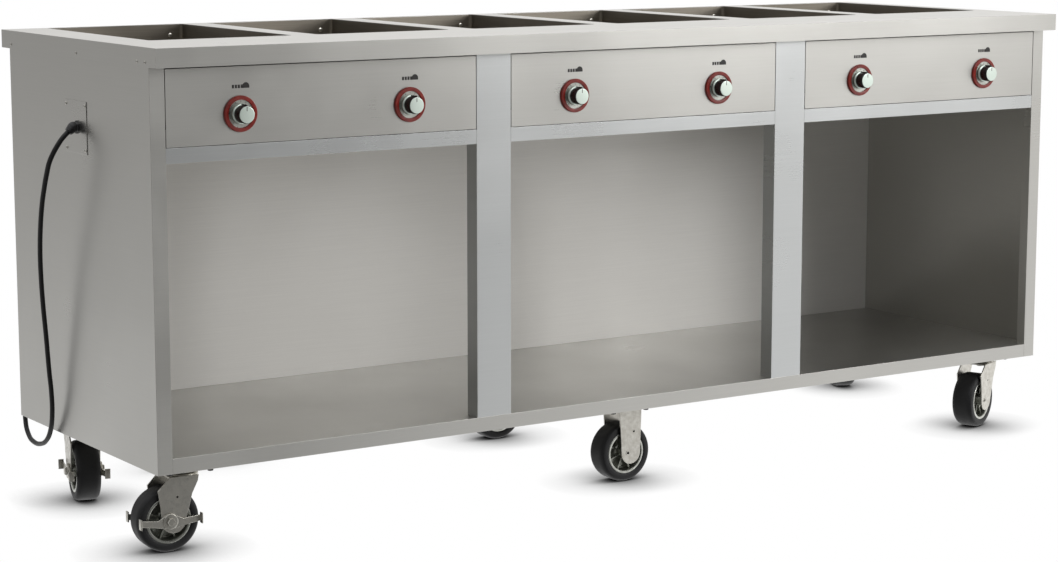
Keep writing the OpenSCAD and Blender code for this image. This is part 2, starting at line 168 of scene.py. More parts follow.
def add_node(tree, kind, inputs=None, **settings):
    """Add a node, set its settings, and link or fill its inputs."""
    node = tree.nodes.new(kind)
    for name, value in settings.items():
        setattr(node, name, value)
    for key, value in (inputs or {}).items():
        if isinstance(value, bpy.types.NodeSocket):
            tree.links.new(value, node.inputs[key])
        else:
            node.inputs[key].default_value = value
    return node


def new_finish(name):
    """A material, its tree and the coordinates of the object it is on, in metres."""
    material = bpy.data.materials.new(name)
    material.use_nodes = True
    tree = material.node_tree
    tree.nodes.clear()
    place = add_node(tree, "ShaderNodeTexCoord").outputs["Object"]
    return material, tree, place


def per_mm(size):
    """The noise scale, in metres, whose spots are about this many mm across."""
    return 1000 / size


def spots(tree, place, size, detail=2.0, rough=0.5):
    """Soft noise with spots of this size in mm, from 0 to 1."""
    return add_node(
        tree,
        "ShaderNodeTexNoise",
        {"Vector": place, "Scale": per_mm(size), "Detail": detail, "Roughness": rough},
    ).outputs["Fac"]


def span(tree, value, low, high, start=0.0, end=1.0):
    """Stretch a value that runs from start to end so that it runs from low to high."""
    return add_node(
        tree,
        "ShaderNodeMapRange",
        {"Value": value, "From Min": start, "From Max": end, "To Min": low, "To Max": high},
    ).outputs["Result"]


def blend_colours(tree, factor, first, second):
    """A colour that goes from the first to the second as the factor rises."""
    node = add_node(tree, "ShaderNodeMix", data_type="RGBA")
    tree.links.new(factor, node.inputs["Factor"])
    for socket, value in ((node.inputs[6], first), (node.inputs[7], second)):
        if isinstance(value, str):
            socket.default_value = linear(value)
        else:
            tree.links.new(value, socket)
    return node.outputs[2]


def bumped(tree, height, depth, strength=1.0):
    """A normal that is raised by a height, with its depth in mm."""
    return add_node(
        tree,
        "ShaderNodeBump",
        {"Height": height, "Distance": depth / 1000, "Strength": strength},
    ).outputs["Normal"]


def surface(tree, **inputs):
    """The Principled surface; its fixed numbers stay on its own sockets."""
    named = {key.replace("_", " "): value for key, value in inputs.items()}
    shader = add_node(tree, "ShaderNodeBsdfPrincipled", named)
    add_node(tree, "ShaderNodeOutputMaterial", {"Surface": shader.outputs["BSDF"]})
    return shader


print("pale steel is", [round(c, 3) for c in linear("#C9C8C4")])

# %% [markdown]
# ## Brushed stainless steel
# The cabinet is 304 stainless steel, belt-ground to a No. 4 finish. The belt
# leaves fine scratches, all in the length of the sheet, which draw each
# highlight out across them. The real scratches are about 0.1 mm apart. Here
# they are drawn 1.6 mm apart, because finer ones would vanish, and are kept
# faint. Noise stretched along the grain gives them, and sheets that face
# sideways take their grain front to back.

# %% Brushed stainless steel
STREAK_LENGTH = 160  # mm, the length of a scratch
STREAK_GLOSS = 0.006  # how far a scratch changes the roughness
WIPE_SIZE = 260  # mm, the size of the clouds that a cloth leaves


def grain(tree, place, across, along):
    """Noise drawn out along the sheet, with its sizes in mm."""
    facing = add_node(
        tree,
        "ShaderNodeSeparateXYZ",
        {"Vector": add_node(tree, "ShaderNodeNewGeometry").outputs["Normal"]},
    ).outputs["X"]
    sideways = add_node(
        tree,
        "ShaderNodeMath",
        {0: add_node(tree, "ShaderNodeMath", {0: facing}, operation="ABSOLUTE").outputs[0], 1: 0.7},
        operation="GREATER_THAN",
    ).outputs[0]
    stretched = [
        add_node(tree, "ShaderNodeMapping", {"Vector": place, "Scale": scale}).outputs["Vector"]
        for scale in (
            (per_mm(along), per_mm(across), per_mm(across)),
            (per_mm(across), per_mm(along), per_mm(across)),
        )
    ]
    chosen = add_node(
        tree,
        "ShaderNodeMix",
        {"Factor": sideways, 4: stretched[0], 5: stretched[1]},
        data_type="VECTOR",
    ).outputs[1]
    return add_node(
        tree,
        "ShaderNodeTexNoise",
        {"Vector": chosen, "Scale": 1.0, "Detail": 3.0, "Roughness": 0.6},
    ).outputs["Fac"]


def brushed_steel(name, light, dark, roughness, scratch=1.6, clouds=0.05, metal=1.0):
    """Ground steel: faint streaks in colour and gloss, and hand-wiped clouds."""
    material, tree, place = new_finish(name)
    streaks = grain(tree, place, scratch, STREAK_LENGTH)
    haze = spots(tree, place, WIPE_SIZE, detail=3.0)
    colour = blend_colours(tree, span(tree, streaks, 0.0, 1.0, 0.3, 0.7), dark, light)
    gloss = add_node(
        tree,
        "ShaderNodeMath",
        {
            0: span(tree, streaks, roughness - STREAK_GLOSS, roughness + STREAK_GLOSS, 0.3, 0.7),
            1: span(tree, haze, -clouds, clouds, 0.3, 0.7),
        },
        operation="ADD",
    ).outputs[0]
    surface(tree, Base_Color=colour, Metallic=metal, Roughness=gloss)
    return material


stainless = brushed_steel("brushed_stainless_no4", "#B9B8B4", "#B6B5B1", 0.32)
# The folded posts and rails reflect a little more, and more coolly
post_steel = brushed_steel("brushed_stainless_posts", "#C0C2C2", "#BDBFBF", 0.3)
# The bays are lined with the same steel as it leaves the mill, duller and softer. Its near-white colour is painted
# light that brightens the bay backs
lightened_lining = brushed_steel("mill_finish_stainless_painted_bright", "#EEECE8", "#EAE8E4", 0.55, 2.2, 0.05, metal=0.5)
# The wells take a darker, browner and duller copy of the steel
well_steel = brushed_steel("darker_well_stainless", "#8C867C", "#827C72", 0.4, 1.4, 0.08)
print("steels made")

# %% [markdown]
# ## Zinc plate, cast alloy and brass
# Caster forks, plates and bolts are pressed steel with bright zinc plating. It
# is slightly mottled and warm, because the crystals of zinc catch the light
# apart. The wheel cores are die-cast aluminium, as it comes from the die, with
# a skin of fine sand-like grain about 0.4 mm across.

# %% Zinc, alloy and brass


def plated(name, light, dark, roughness, mottle, bump_size, bump_depth):
    """A metal with mottled colour and gloss over a fine skin."""
    material, tree, place = new_finish(name)
    cloud = spots(tree, place, mottle, detail=4.0, rough=0.6)
    skin = spots(tree, place, bump_size)
    surface(
        tree,
        Base_Color=blend_colours(tree, span(tree, cloud, 0, 1, 0.35, 0.65), dark, light),
        Metallic=1.0,
        Roughness=span(tree, cloud, roughness + 0.08, roughness - 0.06, 0.3, 0.7),
        Normal=bumped(tree, skin, bump_depth, 0.6),
    )
    return material


zinc = plated("bright_zinc_plate", "#C6C4BD", "#B5B2AA", 0.34, 9, 1.2, 0.008)
alloy = plated("die_cast_aluminium", "#A9AAA2", "#7E8078", 0.42, 6, 0.8, 0.05)
rim_metal = plated("turned_aluminium", "#C4C5BF", "#A6A7A0", 0.3, 12, 1.0, 0.01)
brass = plated("plug_brass", "#D9B863", "#B8933F", 0.28, 4, 0.8, 0.01)
sheath = plated("heat_dark_sheath", "#5A4A40", "#2F2824", 0.5, 14, 1.0, 0.03)
print("plated metals made")

# %% [markdown]
# ## Rubber, nylon and phenolic
# Tyres are black rubber, matt where they roll and greyer with dust in patches.
# The cord's jacket is the same family, but extruded, so it is smooth. Knobs
# are compression-moulded phenolic, hard and glossier, and the cord gland is
# nylon with a fine moulded texture of about 0.5 mm.

# %% Rubber and plastics


def moulded(name, light, dark, roughness, patch, skin_size, skin_depth, **fixed):
    """A plastic or rubber with uneven tone and a fine skin."""
    material, tree, place = new_finish(name)
    tone = spots(tree, place, patch, detail=4.0, rough=0.65)
    skin = spots(tree, place, skin_size)
    surface(
        tree,
        Base_Color=blend_colours(tree, span(tree, tone, 0, 1, 0.35, 0.7), dark, light),
        Roughness=span(tree, tone, roughness - 0.05, roughness + 0.08, 0.3, 0.7),
        Normal=bumped(tree, skin, skin_depth, 0.6),
        **fixed,
    )
    return material


tyre_rubber = moulded("tyre_rubber", "#101012", "#08080A", 0.6, 22, 0.9, 0.03, IOR=1.45)
cord_rubber = moulded("cord_jacket_rubber", "#0A0A0B", "#050506", 0.5, 40, 0.8, 0.01, IOR=1.45)
nylon = moulded("moulded_black_nylon", "#1B1B1D", "#0D0D0E", 0.42, 15, 0.5, 0.03, IOR=1.53)
phenolic = moulded("black_phenolic", "#1C1B1A", "#0E0D0D", 0.28, 12, 0.6, 0.01, IOR=1.6)
cream = moulded("cream_urea_switch", "#DDD6C2", "#C9C1AC", 0.45, 18, 0.6, 0.02, IOR=1.5)
ring_red = moulded("dark_red_ring_enamel", "#8E2418", "#6B160F", 0.32, 14, 0.8, 0.01, IOR=1.5)
dial_black = moulded("dial_print_black", "#2A211F", "#191413", 0.4, 8, 0.6, 0.01, IOR=1.5)
mark_ink = moulded("panel_mark_ink", "#1D1815", "#120E0C", 0.5, 8, 0.6, 0.005, IOR=1.5)
tie_nylon = moulded("cord_tie_velour", "#222226", "#141416", 0.9, 6, 0.7, 0.15, IOR=1.5)

# %% [markdown]
# The knob's cap is a thin disc of anodised aluminium with a cool, faintly
# green silver. It is turned, so its scratches run in circles round the knob's
# axis. Ring-shaped waves need a centre for each knob, so this finish is made
# once for each of the six.

# %% Turned knob caps


def cap_silver(number, centre):
    """Anodised aluminium with turning rings 0.8 mm apart round this centre."""
    material, tree, place = new_finish(f"anodised_cap_{number}")
    local = add_node(
        tree,
        "ShaderNodeMapping",
        {"Vector": place, "Location": (-centre[0], 0.0, -centre[2]), "Scale": (1, 0, 1)},
    ).outputs["Vector"]
    rings = add_node(
        tree,
        "ShaderNodeTexWave",
        {"Vector": local, "Scale": 1000 / (0.8 * 6.28), "Distortion": 0.3, "Detail": 1.0},
        wave_type="RINGS",
        rings_direction="SPHERICAL",
    ).outputs["Fac"]
    surface(
        tree,
        Base_Color=blend_colours(tree, rings, "#C2CEC5", "#CFD9D1"),
        Metallic=0.85,
        Roughness=span(tree, rings, 0.32, 0.4),
        Normal=bumped(tree, rings, 0.01, 0.4),
    )
    return material


print("rubbers and plastics made")

# %% [markdown]
# ## Shapes in millimetres
# Small parts are drawn in millimetres about their own axis and then placed. A
# turned part is a profile spun about Z. A pressed part is a flat outline with
# a thickness and rounded edges. One function puts such shapes together in one
# object whose origin stays at the frame's origin, in metres.

# %% Turned shapes


def lathe(profile, segments=48, closed=False):
    """Spin (radius, height) pairs about Z; a radius of 0 makes a pole."""
    shape = bmesh.new()
    rings = []
    for radius, height in profile:
        if radius == 0:
            rings.append([shape.verts.new((0, 0, height))])
        else:
            turns = (2 * math.pi * k / segments for k in range(segments))
            rings.append(
                [shape.verts.new((radius * math.cos(a), radius * math.sin(a), height)) for a in turns]
            )
    pairs = list(zip(rings, rings[1:])) + ([(rings[-1], rings[0])] if closed else [])
    for low, high in pairs:
        for k in range(segments):
            j = (k + 1) % segments
            corners = [low[k % len(low)], low[j % len(low)], high[j % len(high)], high[k % len(high)]]
            face = list(dict.fromkeys(corners))
            if len(face) > 2:
                shape.faces.new(face)
    bmesh.ops.recalc_face_normals(shape, faces=shape.faces)
    return shape


def rounded(points, radius, steps=3):
    """The points with each inner corner turned into a small arc."""
    path = [Vector(points[0])]
    for before, corner, after in zip(points, points[1:], points[2:]):
        before, corner, after = Vector(before), Vector(corner), Vector(after)
        cut_in = min(radius, (before - corner).length * 0.45)
        cut_out = min(radius, (after - corner).length * 0.45)
        start = corner + (before - corner).normalized() * cut_in
        end = corner + (after - corner).normalized() * cut_out
        for k in range(steps + 1):
            t = k / steps
            path.append(start * (1 - t) ** 2 + corner * 2 * t * (1 - t) + end * t * t)
    path.append(Vector(points[-1]))
    return [tuple(p) for p in path]


print("a rounded square corner has", len(rounded([(0, 0), (5, 0), (5, 5)], 1)), "points")

# %% Flat plates, blocks and joining


def block(low, high, ease=0.5):
    """A box from corner to corner with eased edges."""
    shape = bmesh.new()
    bmesh.ops.create_cube(shape, size=1)
    size = [b - a for a, b in zip(low, high)]
    middle = [(a + b) / 2 for a, b in zip(low, high)]
    bmesh.ops.scale(shape, vec=size, verts=shape.verts)
    bmesh.ops.translate(shape, vec=middle, verts=shape.verts)
    bmesh.ops.bevel(
        shape, geom=list(shape.edges), offset=ease, segments=2, affect="EDGES", profile=0.5
    )
    return shape


def plate(loops, thickness, ease=0.4):
    """A flat plate about Z = 0: the first loop is its outline, the rest are holes."""
    curve = bpy.data.curves.new("plate", "CURVE")
    curve.dimensions = "2D"
    curve.fill_mode = "BOTH"
    curve.extrude = thickness / 2 - ease
    curve.bevel_depth = ease
    curve.bevel_resolution = 0
    for loop in loops:
        spline = curve.splines.new("POLY")
        spline.points.add(len(loop) - 1)
        for point, (x, y) in zip(spline.points, loop):
            point.co = (x, y, 0, 1)
        spline.use_cyclic_u = True
    holder = bpy.data.objects.new("plate", curve)
    bpy.context.scene.collection.objects.link(holder)
    bpy.context.view_layer.update()
    mesh = bpy.data.meshes.new_from_object(holder.evaluated_get(bpy.context.evaluated_depsgraph_get()))
    shape = bmesh.new()
    shape.from_mesh(mesh)
    bmesh.ops.remove_doubles(shape, verts=shape.verts, dist=0.01)
    bmesh.ops.recalc_face_normals(shape, faces=shape.faces)
    bpy.data.objects.remove(holder)
    bpy.data.curves.remove(curve)
    bpy.data.meshes.remove(mesh)
    return shape


def arc(centre, radius, start, end, steps=16):
    """Points on an arc, with its angles in degrees."""
    return [
        (
            centre[0] + radius * math.cos(math.radians(start + (end - start) * k / steps)),
            centre[1] + radius * math.sin(math.radians(start + (end - start) * k / steps)),
        )
        for k in range(steps + 1)
    ]


def circle(centre, radius, steps=24):
    """Points round a full circle."""
    return arc(centre, radius, 0, 360 * (steps - 1) / steps, steps - 1)


def assemble(name, parts, smooth=35):
    """One object from (shape, place, material) parts in mm, its place in its mesh."""
    whole = bmesh.new()
    mesh = bpy.data.meshes.new(name)
    for shape, place, material in parts:
        if material.name not in mesh.materials:
            mesh.materials.append(material)
        for face in shape.faces:
            face.material_index = mesh.materials.find(material.name)
        bmesh.ops.transform(shape, matrix=place, verts=shape.verts)
        part = bpy.data.meshes.new("part")
        shape.to_mesh(part)
        shape.free()
        whole.from_mesh(part)
        bpy.data.meshes.remove(part)
    bmesh.ops.scale(whole, vec=(0.001,) * 3, verts=whole.verts)
    whole.to_mesh(mesh)
    whole.free()
    mesh.shade_smooth()
    mesh.set_sharp_from_angle(angle=math.radians(smooth))
    piece = bpy.data.objects.new(name, mesh)
    bpy.context.scene.collection.objects.link(piece)
    return piece


HERE = Matrix.Identity(4)
# Turns a shape's Z axis to point to the back, to the left, or to the right
TO_BACK = Matrix.Rotation(math.radians(-90), 4, "X")
TO_FRONT = Matrix.Rotation(math.radians(90), 4, "X")
TO_LEFT = Matrix.Rotation(math.radians(-90), 4, "Y")
TO_RIGHT = Matrix.Rotation(math.radians(90), 4, "Y")


def at(x, y, z):
    """A place in mm."""
    return Matrix.Translation((x, y, z))


print("shape helpers ready")

# %% [markdown]
# ## Trees for what repeats
# Spokes, flutes, tick marks and screws are one shape many times over. A
# Geometry Nodes tree is the tidy way to make them: its inputs are the sizes,
# and a different number gives a different part. Realize Instances turns the
# copies into real faces, because exported models keep no instances.

# %% Geometry Nodes helpers


def new_tree(name, inputs):
    """A geometry tree with named inputs, its input node and its output node."""
    tree = bpy.data.node_groups.new(name, "GeometryNodeTree")
    tree.interface.new_socket("Geometry", in_out="INPUT", socket_type="NodeSocketGeometry")
    for label, kind in inputs.items():
        tree.interface.new_socket(label, in_out="INPUT", socket_type="NodeSocket" + kind)
    tree.interface.new_socket("Geometry", in_out="OUTPUT", socket_type="NodeSocketGeometry")
    return tree, add_node(tree, "NodeGroupInput"), add_node(tree, "NodeGroupOutput")


def finish_tree(tree, instances, source, end):
    """Make the copies real, give them their material and send them out."""
    real = add_node(tree, "GeometryNodeRealizeInstances", {"Geometry": instances})
    painted = add_node(
        tree,
        "GeometryNodeSetMaterial",
        {"Geometry": real.outputs["Geometry"], "Material": source.outputs["Material"]},
    )
    tree.links.new(painted.outputs["Geometry"], end.inputs["Geometry"])


def grow(name, tree, values, points=()):
    """A plain mesh from a tree, started from points in metres where it needs them."""
    seed = bpy.data.meshes.new(name)
    seed.from_pydata([tuple(p) for p in points], [], [])
    holder = bpy.data.objects.new(name, seed)
    bpy.context.scene.collection.objects.link(holder)
    modifier = holder.modifiers.new("Grow", "NODES")
    modifier.node_group = tree
    for item in tree.interface.items_tree:
        if item.in_out == "INPUT" and item.name in values:
            modifier[item.identifier] = values[item.name]
    bpy.context.view_layer.update()
    ready = holder.evaluated_get(bpy.context.evaluated_depsgraph_get())
    mesh = bpy.data.meshes.new_from_object(ready)
    bpy.data.objects.remove(holder)
    bpy.data.meshes.remove(seed)
    return mesh


def as_shape(mesh, scale=1000.0):
    """A bmesh in mm from a mesh in metres, which isn't needed afterwards."""
    shape = bmesh.new()
    shape.from_mesh(mesh)
    bmesh.ops.scale(shape, vec=(scale,) * 3, verts=shape.verts)
    bpy.data.meshes.remove(mesh)
    return shape


print("tree helpers ready")

# %% [markdown]
# The first tree sets bars round an arc, each pointing outwards. It makes a
# wheel's ribs, a knob's flutes, a dial's tick marks and the ribs of a plug.

# %% Bars round an arc
BAR_INPUTS = {
    "Count": "Int",
    "Radius": "Float",
    "Start": "Float",
    "Sweep": "Float",
    "Size": "Vector",
    "Material": "Material",
}
ring_of_bars, source, end = new_tree("ring_of_bars", BAR_INPUTS)
path = add_node(
    ring_of_bars,
    "GeometryNodeCurveArc",
    {
        "Resolution": source.outputs["Count"],
        "Radius": source.outputs["Radius"],
        "Start Angle": source.outputs["Start"],
        "Sweep Angle": source.outputs["Sweep"],
    },
)
outwards = add_node(
    ring_of_bars,
    "FunctionNodeAlignRotationToVector",
    {"Vector": add_node(ring_of_bars, "GeometryNodeInputPosition").outputs["Position"]},
    axis="X",
    pivot_axis="Z",
)
bar = add_node(ring_of_bars, "GeometryNodeMeshCube", {"Size": source.outputs["Size"]})
bars = add_node(
    ring_of_bars,
    "GeometryNodeInstanceOnPoints",
    {
        "Points": path.outputs["Curve"],
        "Instance": bar.outputs["Mesh"],
        "Rotation": outwards.outputs["Rotation"],
    },
)
finish_tree(ring_of_bars, bars.outputs["Instances"], source, end)


def bars_round(count, radius, size, material, start=0.0, sweep=None):
    """Bars round Z in mm; a whole ring leaves out the last one, which meets the first."""
    sweep = 360 * (count - 1) / count if sweep is None else sweep
    mesh = grow(
        "bars",
        ring_of_bars,
        {
            "Count": count,
            "Radius": radius / 1000,
            "Start": math.radians(start),
            "Sweep": math.radians(sweep),
            "Size": [s / 1000 for s in size],
            "Material": material,
        },
    )
    return as_shape(mesh)


print("an 8-spoke ring has", len(bars_round(8, 30, (20, 3, 10), alloy).faces), "faces")

# %% [markdown]
# The second tree puts a copy of one finished fastener at each point of a list.
# It makes every row of screws and bolts, and it sets out the six dials.

# %% Copies at points
copies_at_points, source, end = new_tree(
    "copies_at_points", {"Fastener": "Object", "Material": "Material"}
)
fastener = add_node(
    copies_at_points,
    "GeometryNodeObjectInfo",
    {"Object": source.outputs["Fastener"], "As Instance": True},
)
copies = add_node(
    copies_at_points,
    "GeometryNodeInstanceOnPoints",
    {"Points": source.outputs["Geometry"], "Instance": fastener.outputs["Geometry"]},
)
finish_tree(copies_at_points, copies.outputs["Instances"], source, end)


def repeat(name, parts, points, material, smooth=35):
    """One object with a copy of the parts at each point in mm."""
    pattern = assemble(name + "_pattern", parts, smooth)
    mesh = grow(
        name,
        copies_at_points,
        {"Fastener": pattern, "Material": material},
        [[c / 1000 for c in p] for p in points],
    )
    bpy.data.objects.remove(pattern)
    mesh.shade_smooth()
    mesh.set_sharp_from_angle(angle=math.radians(smooth))
    piece = bpy.data.objects.new(name, mesh)
    bpy.context.scene.collection.objects.link(piece)
    return piece


print("copy tree ready")

# %% [markdown]
# ## The power cord
# The lead is a 10 mm heavy rubber cord, about 3.1 m long. It leaves the gland
# on the left end pointing down, hangs beside the panel, sags under the cabinet
# and comes up over a saddle on the back. Its spare length is wound in a flat
# coil behind the cabinet and held by a tie. One smooth curve runs through
# listed points and then the coil's turns, two on the floor and two on them.

# %% The cord's route
CORD_PATH = [
    (-1163, -2, 795), (-1175, -1, 783), (-1185, 2, 768), (-1192, 7, 753),
    (-1197, 14, 736), (-1199, 24, 713), (-1200, 38, 680), (-1200, 50, 650), (-1198, 67, 600),
    (-1194, 82, 555), (-1189, 94, 505), (-1183, 103, 445), (-1175, 110, 370),
    (-1168, 117, 300), (-1163, 120, 250), (-1158, 132, 203), (-1154, 152, 168),
    (-1150, 185, 140), (-1145, 232, 123), (-1139, 282, 118), (-1133, 322, 124),
    (-1128, 350, 146), (-1122, 360, 180), (-1102, 359, 217), (-1062, 358, 258),
    (-1010, 357, 293), (-955, 357, 323), (-922, 357, 341), (-900, 357, 346),
    (-877, 357, 340), (-860, 357, 323), (-854, 357, 300), (-854, 357, 230),
    (-854, 357, 150), (-854, 356, 85), (-844, 354, 36), (-818, 352, 10),
    (-785, 350, 5),
]  # fmt: skip
COIL_AT = (-745, 415)
COIL_OUT, COIL_IN = 65, 45
CORD_R = 5


def coil_points(start, sweep, radii, heights, steps):
    """Points on a flat spiral, with its angles in degrees."""
    made = []
    for k in range(steps):
        t = k / steps
        turn = math.radians(start + sweep * t)
        radius = radii[0] + (radii[1] - radii[0]) * t
        made.append(
            (
                COIL_AT[0] + radius * math.cos(turn),
                COIL_AT[1] + radius * math.sin(turn),
                heights[0] + (heights[1] - heights[0]) * t,
            )
        )
    return made


CLIMB = 60
winding = (
    coil_points(-90, 720 - CLIMB / 2, (COIL_OUT, COIL_IN), (5, 5), 36)
    + coil_points(-90 - CLIMB / 2, CLIMB, (COIL_IN, COIL_IN), (5, 15), 4)
    + coil_points(-90 + CLIMB / 2, 720 - CLIMB / 2, (COIL_IN, COIL_OUT), (15, 15), 36)
)
straight_out = [(x, COIL_AT[1] - COIL_OUT, 15) for x in (-745, -722, -699)]
route = CORD_PATH + winding + straight_out
print("cord points:", len(route))

# %% The cord
cord_curve = bpy.data.curves.new("power_cord_curve", "CURVE")
cord_curve.dimensions = "3D"
cord_curve.bevel_depth = CORD_R / 1000
cord_curve.bevel_resolution = 3
cord_curve.resolution_u = 6
cord_curve.use_fill_caps = True
line = cord_curve.splines.new("BEZIER")
line.bezier_points.add(len(route) - 1)
for point, place in zip(line.bezier_points, route):
    point.co = [c / 1000 for c in place]
    point.handle_left_type = point.handle_right_type = "AUTO"
cord_piece = bpy.data.objects.new("lead_rubber_cord", cord_curve)
bpy.context.scene.collection.objects.link(cord_piece)
cord_curve.materials.append(cord_rubber)

# %% [markdown]
# The plug is a moulded rubber body with ribs to grip, a tapered relief where
# the cord enters, and two blades and an earth pin of brass. The tie is a short
# band round one side of the coil.

# %% Plug and tie
PLUG_Y, PLUG_Z = COIL_AT[1] - COIL_OUT, 15
relief = [(0, -702), (5.6, -702), (6.2, -701)]
for k in range(5):
    x = -698 + 7 * k
    relief += [(6.6 + 0.5 * k, x), (6.6 + 0.5 * k, x + 4), (5.8 + 0.5 * k, x + 4.6), (5.8 + 0.5 * k, x + 6.4)]
relief += [(9.5, -663), (0, -663)]
body = [(0, -666), (9, -666), (13.6, -662), (14.8, -652), (14.8, -640), (14.2, -630), (13, -627), (0, -627)]
along_x = at(0, PLUG_Y, PLUG_Z) @ TO_RIGHT
plug_parts = [
    (lathe(relief, 32), along_x, cord_rubber),
    (lathe(rounded(body, 1.5), 40), along_x, cord_rubber),
    (bars_round(14, 14.0, (1.6, 2.0, 12), cord_rubber), along_x @ at(0, 0, -646), cord_rubber),
]
for side in (-1, 1):
    y = PLUG_Y + side * 6.35
    plug_parts.append(
        (block((-628, y - 0.75, PLUG_Z - 1), (-610, y + 0.75, PLUG_Z + 5.3), 0.35), HERE, brass)
    )
pin = [(0, -628), (2.4, -628), (2.4, -610.5), (1.4, -609), (0, -609)]
plug_parts.append((lathe(pin, 20), at(0, PLUG_Y, PLUG_Z - 8) @ TO_RIGHT, brass))
plug = assemble("lead_plug_body", plug_parts)
settle(plug, "power_plug")

tie_section = rounded([(39.6, 6), (39.6, 20.9), (70.6, 20.9), (70.6, 0.1), (39.6, 0.1), (39.6, 6)], 2.5)
tie_outer = [(x - 55, z - 10.5) for x, z in tie_section[:-1]]
tie_inner = [(x * 0.93, z * 0.9) for x, z in tie_outer]
across_coil = at(COIL_AT[0], COIL_AT[1] + 55, 10.5) @ Matrix.Rotation(math.radians(90), 4, "Z")
tie = assemble(
    "lead_coil_tie", [(plate([tie_outer, tie_inner], 7, 0.3), across_coil @ TO_FRONT, tie_nylon)]
)
attach(tie, "cabinet")

settle(cord_piece, "power_cord", "cord_coil")
print("cord, plug and tie placed")

# %% [markdown]
# ## Folded sheet metal
# The counter, panels, posts, rails and shelf are folded sheet. Their shapes
# are right in the frame, but no real sheet has a knife-sharp edge. A clean
# copy of each part gets a live bevel of a few tenths of a millimetre, which
# catches a thin line of light along every fold. The control panels are loose
# in their openings, so a dark gap of 1.2 mm is left round each.

# %% Eased sheets


def eased(node, width, material, gap=0.0, angle=40):
    """A copy of a part with whole faces, a gap in mm round it, and eased edges."""
    copy = bmesh.new()
    copy.from_mesh(cad_nodes[node].data)
    for axis in (0, 2):
        places = [v.co[axis] for v in copy.verts]
        low, high = min(places), max(places)
        for v in copy.verts:
            if v.co[axis] < low + 0.004:
                v.co[axis] += gap / 1000
            elif v.co[axis] > high - 0.004:
                v.co[axis] -= gap / 1000
    bmesh.ops.remove_doubles(copy, verts=copy.verts, dist=0.00001)
    bmesh.ops.dissolve_limit(
        copy, angle_limit=math.radians(0.6), verts=copy.verts, edges=copy.edges
    )
    mesh = bpy.data.meshes.new(node)
    copy.to_mesh(mesh)
    copy.free()
    mesh.materials.clear()
    mesh.materials.append(material)
    piece = bpy.data.objects.new(node + "_sheet", mesh)
    bpy.context.scene.collection.objects.link(piece)
    mesh.shade_smooth()
    mesh.set_sharp_from_angle(angle=math.radians(30))
    bevel = piece.modifiers.new("Eased edges", "BEVEL")
    bevel.width = width / 1000
    bevel.segments = 2
    bevel.limit_method = "ANGLE"
    bevel.angle_limit = math.radians(angle)
    bevel.use_clamp_overlap = True
    bevel.harden_normals = True
    return settle(piece, node)


SHEETS = {
    "counter_top": (0.6, stainless),
    "left_end_panel": (0.4, stainless),
    "right_end_panel": (0.4, stainless),
    "rear_panel": (0.4, stainless),
    "mid_posts": (0.4, post_steel),
    "front_rails": (0.4, post_steel),
    "control_panel_left": (0.4, stainless),
    "control_panel_middle": (0.4, stainless),
    "control_panel_right": (0.4, stainless),
    "bottom_shelf": (0.4, stainless),
    "inlet_plate": (0.35, stainless),
    # The bay backs take the lined steel, whose near-white colour is painted light.
    "back_panel": (0.4, lightened_lining),
    "base_channels": (0.5, zinc),
    "cord_hook": (0.5, zinc),
}
for node, (width, material) in SHEETS.items():
    eased(node, width, material, 1.2 if "control" in node else 0.0)
print("sheets eased:", len(SHEETS))

# %% [markdown]
# ## The wells
# Each well is a drawn tub with rounded corners and a rounded floor. It is
# built as rings, from the middle of its floor up to its mouth, then back down
# the outside 1.2 mm further out, so it is one closed shell with a true wall.

# %% Well tubs
TUB_WALL = 1.2
WELL_W, WELL_D, WELL_CORNER = 312, 508, 8
well_low, well_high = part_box("well_tub_1")
WELL_TOP = well_high.z * 1000
WELL_FLOOR = well_low.z * 1000 + TUB_WALL


def rounded_ring(width, depth, corner, height, steps=6):
    """Points round a rectangle with round corners, at one height."""
    made = []
    for quarter, (sx, sy) in enumerate(((1, 1), (-1, 1), (-1, -1), (1, -1))):
        centre = (sx * (width / 2 - corner), sy * (depth / 2 - corner))
        for x, y in arc(centre, corner, 90 * quarter, 90 * quarter + 90, steps):
            made.append((x, y, height))
    return made


def lofted(rings):
    """A closed shape through rings with equal point counts, capped at both ends."""
    shape = bmesh.new()
    rows = [[shape.verts.new(p) for p in ring] for ring in rings]
    for low, high in zip(rows, rows[1:]):
        for k in range(len(low)):
            j = (k + 1) % len(low)
            shape.faces.new((low[k], low[j], high[j], high[k]))
    shape.faces.new(rows[0])
    shape.faces.new(rows[-1])
    bmesh.ops.recalc_face_normals(shape, faces=shape.faces)
    return shape


def tub_rings(grow_by, fillet):
    """Rings of one skin of the tub, from its floor to its mouth."""
    floor = WELL_FLOOR - grow_by
    made = []
    for k in range(7):
        turn = math.radians(90 * k / 6)
        inset = fillet * (1 - math.sin(turn))
        made.append(
            rounded_ring(
                WELL_W + 2 * grow_by - 2 * inset,
                WELL_D + 2 * grow_by - 2 * inset,
                max(WELL_CORNER + grow_by, fillet * 0.6) if k < 6 else WELL_CORNER + grow_by,
                floor + fillet * (1 - math.cos(turn)),
            )
        )
    made.append(rounded_ring(WELL_W + 2 * grow_by, WELL_D + 2 * grow_by, WELL_CORNER + grow_by, WELL_TOP))
    return made


for number in range(1, 7):
    node = f"well_tub_{number}"
    low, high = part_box(node)
    middle = (low + high) * 500
    shell = lofted(tub_rings(0, 14) + tub_rings(TUB_WALL, 15)[::-1])
    tub = assemble(f"well_{number}_tub", [(shell, at(middle.x, middle.y, 0), well_steel)], 30)
    settle(tub, node)
print("wells:", 6, "floor at", round(WELL_FLOOR, 1), "mm")

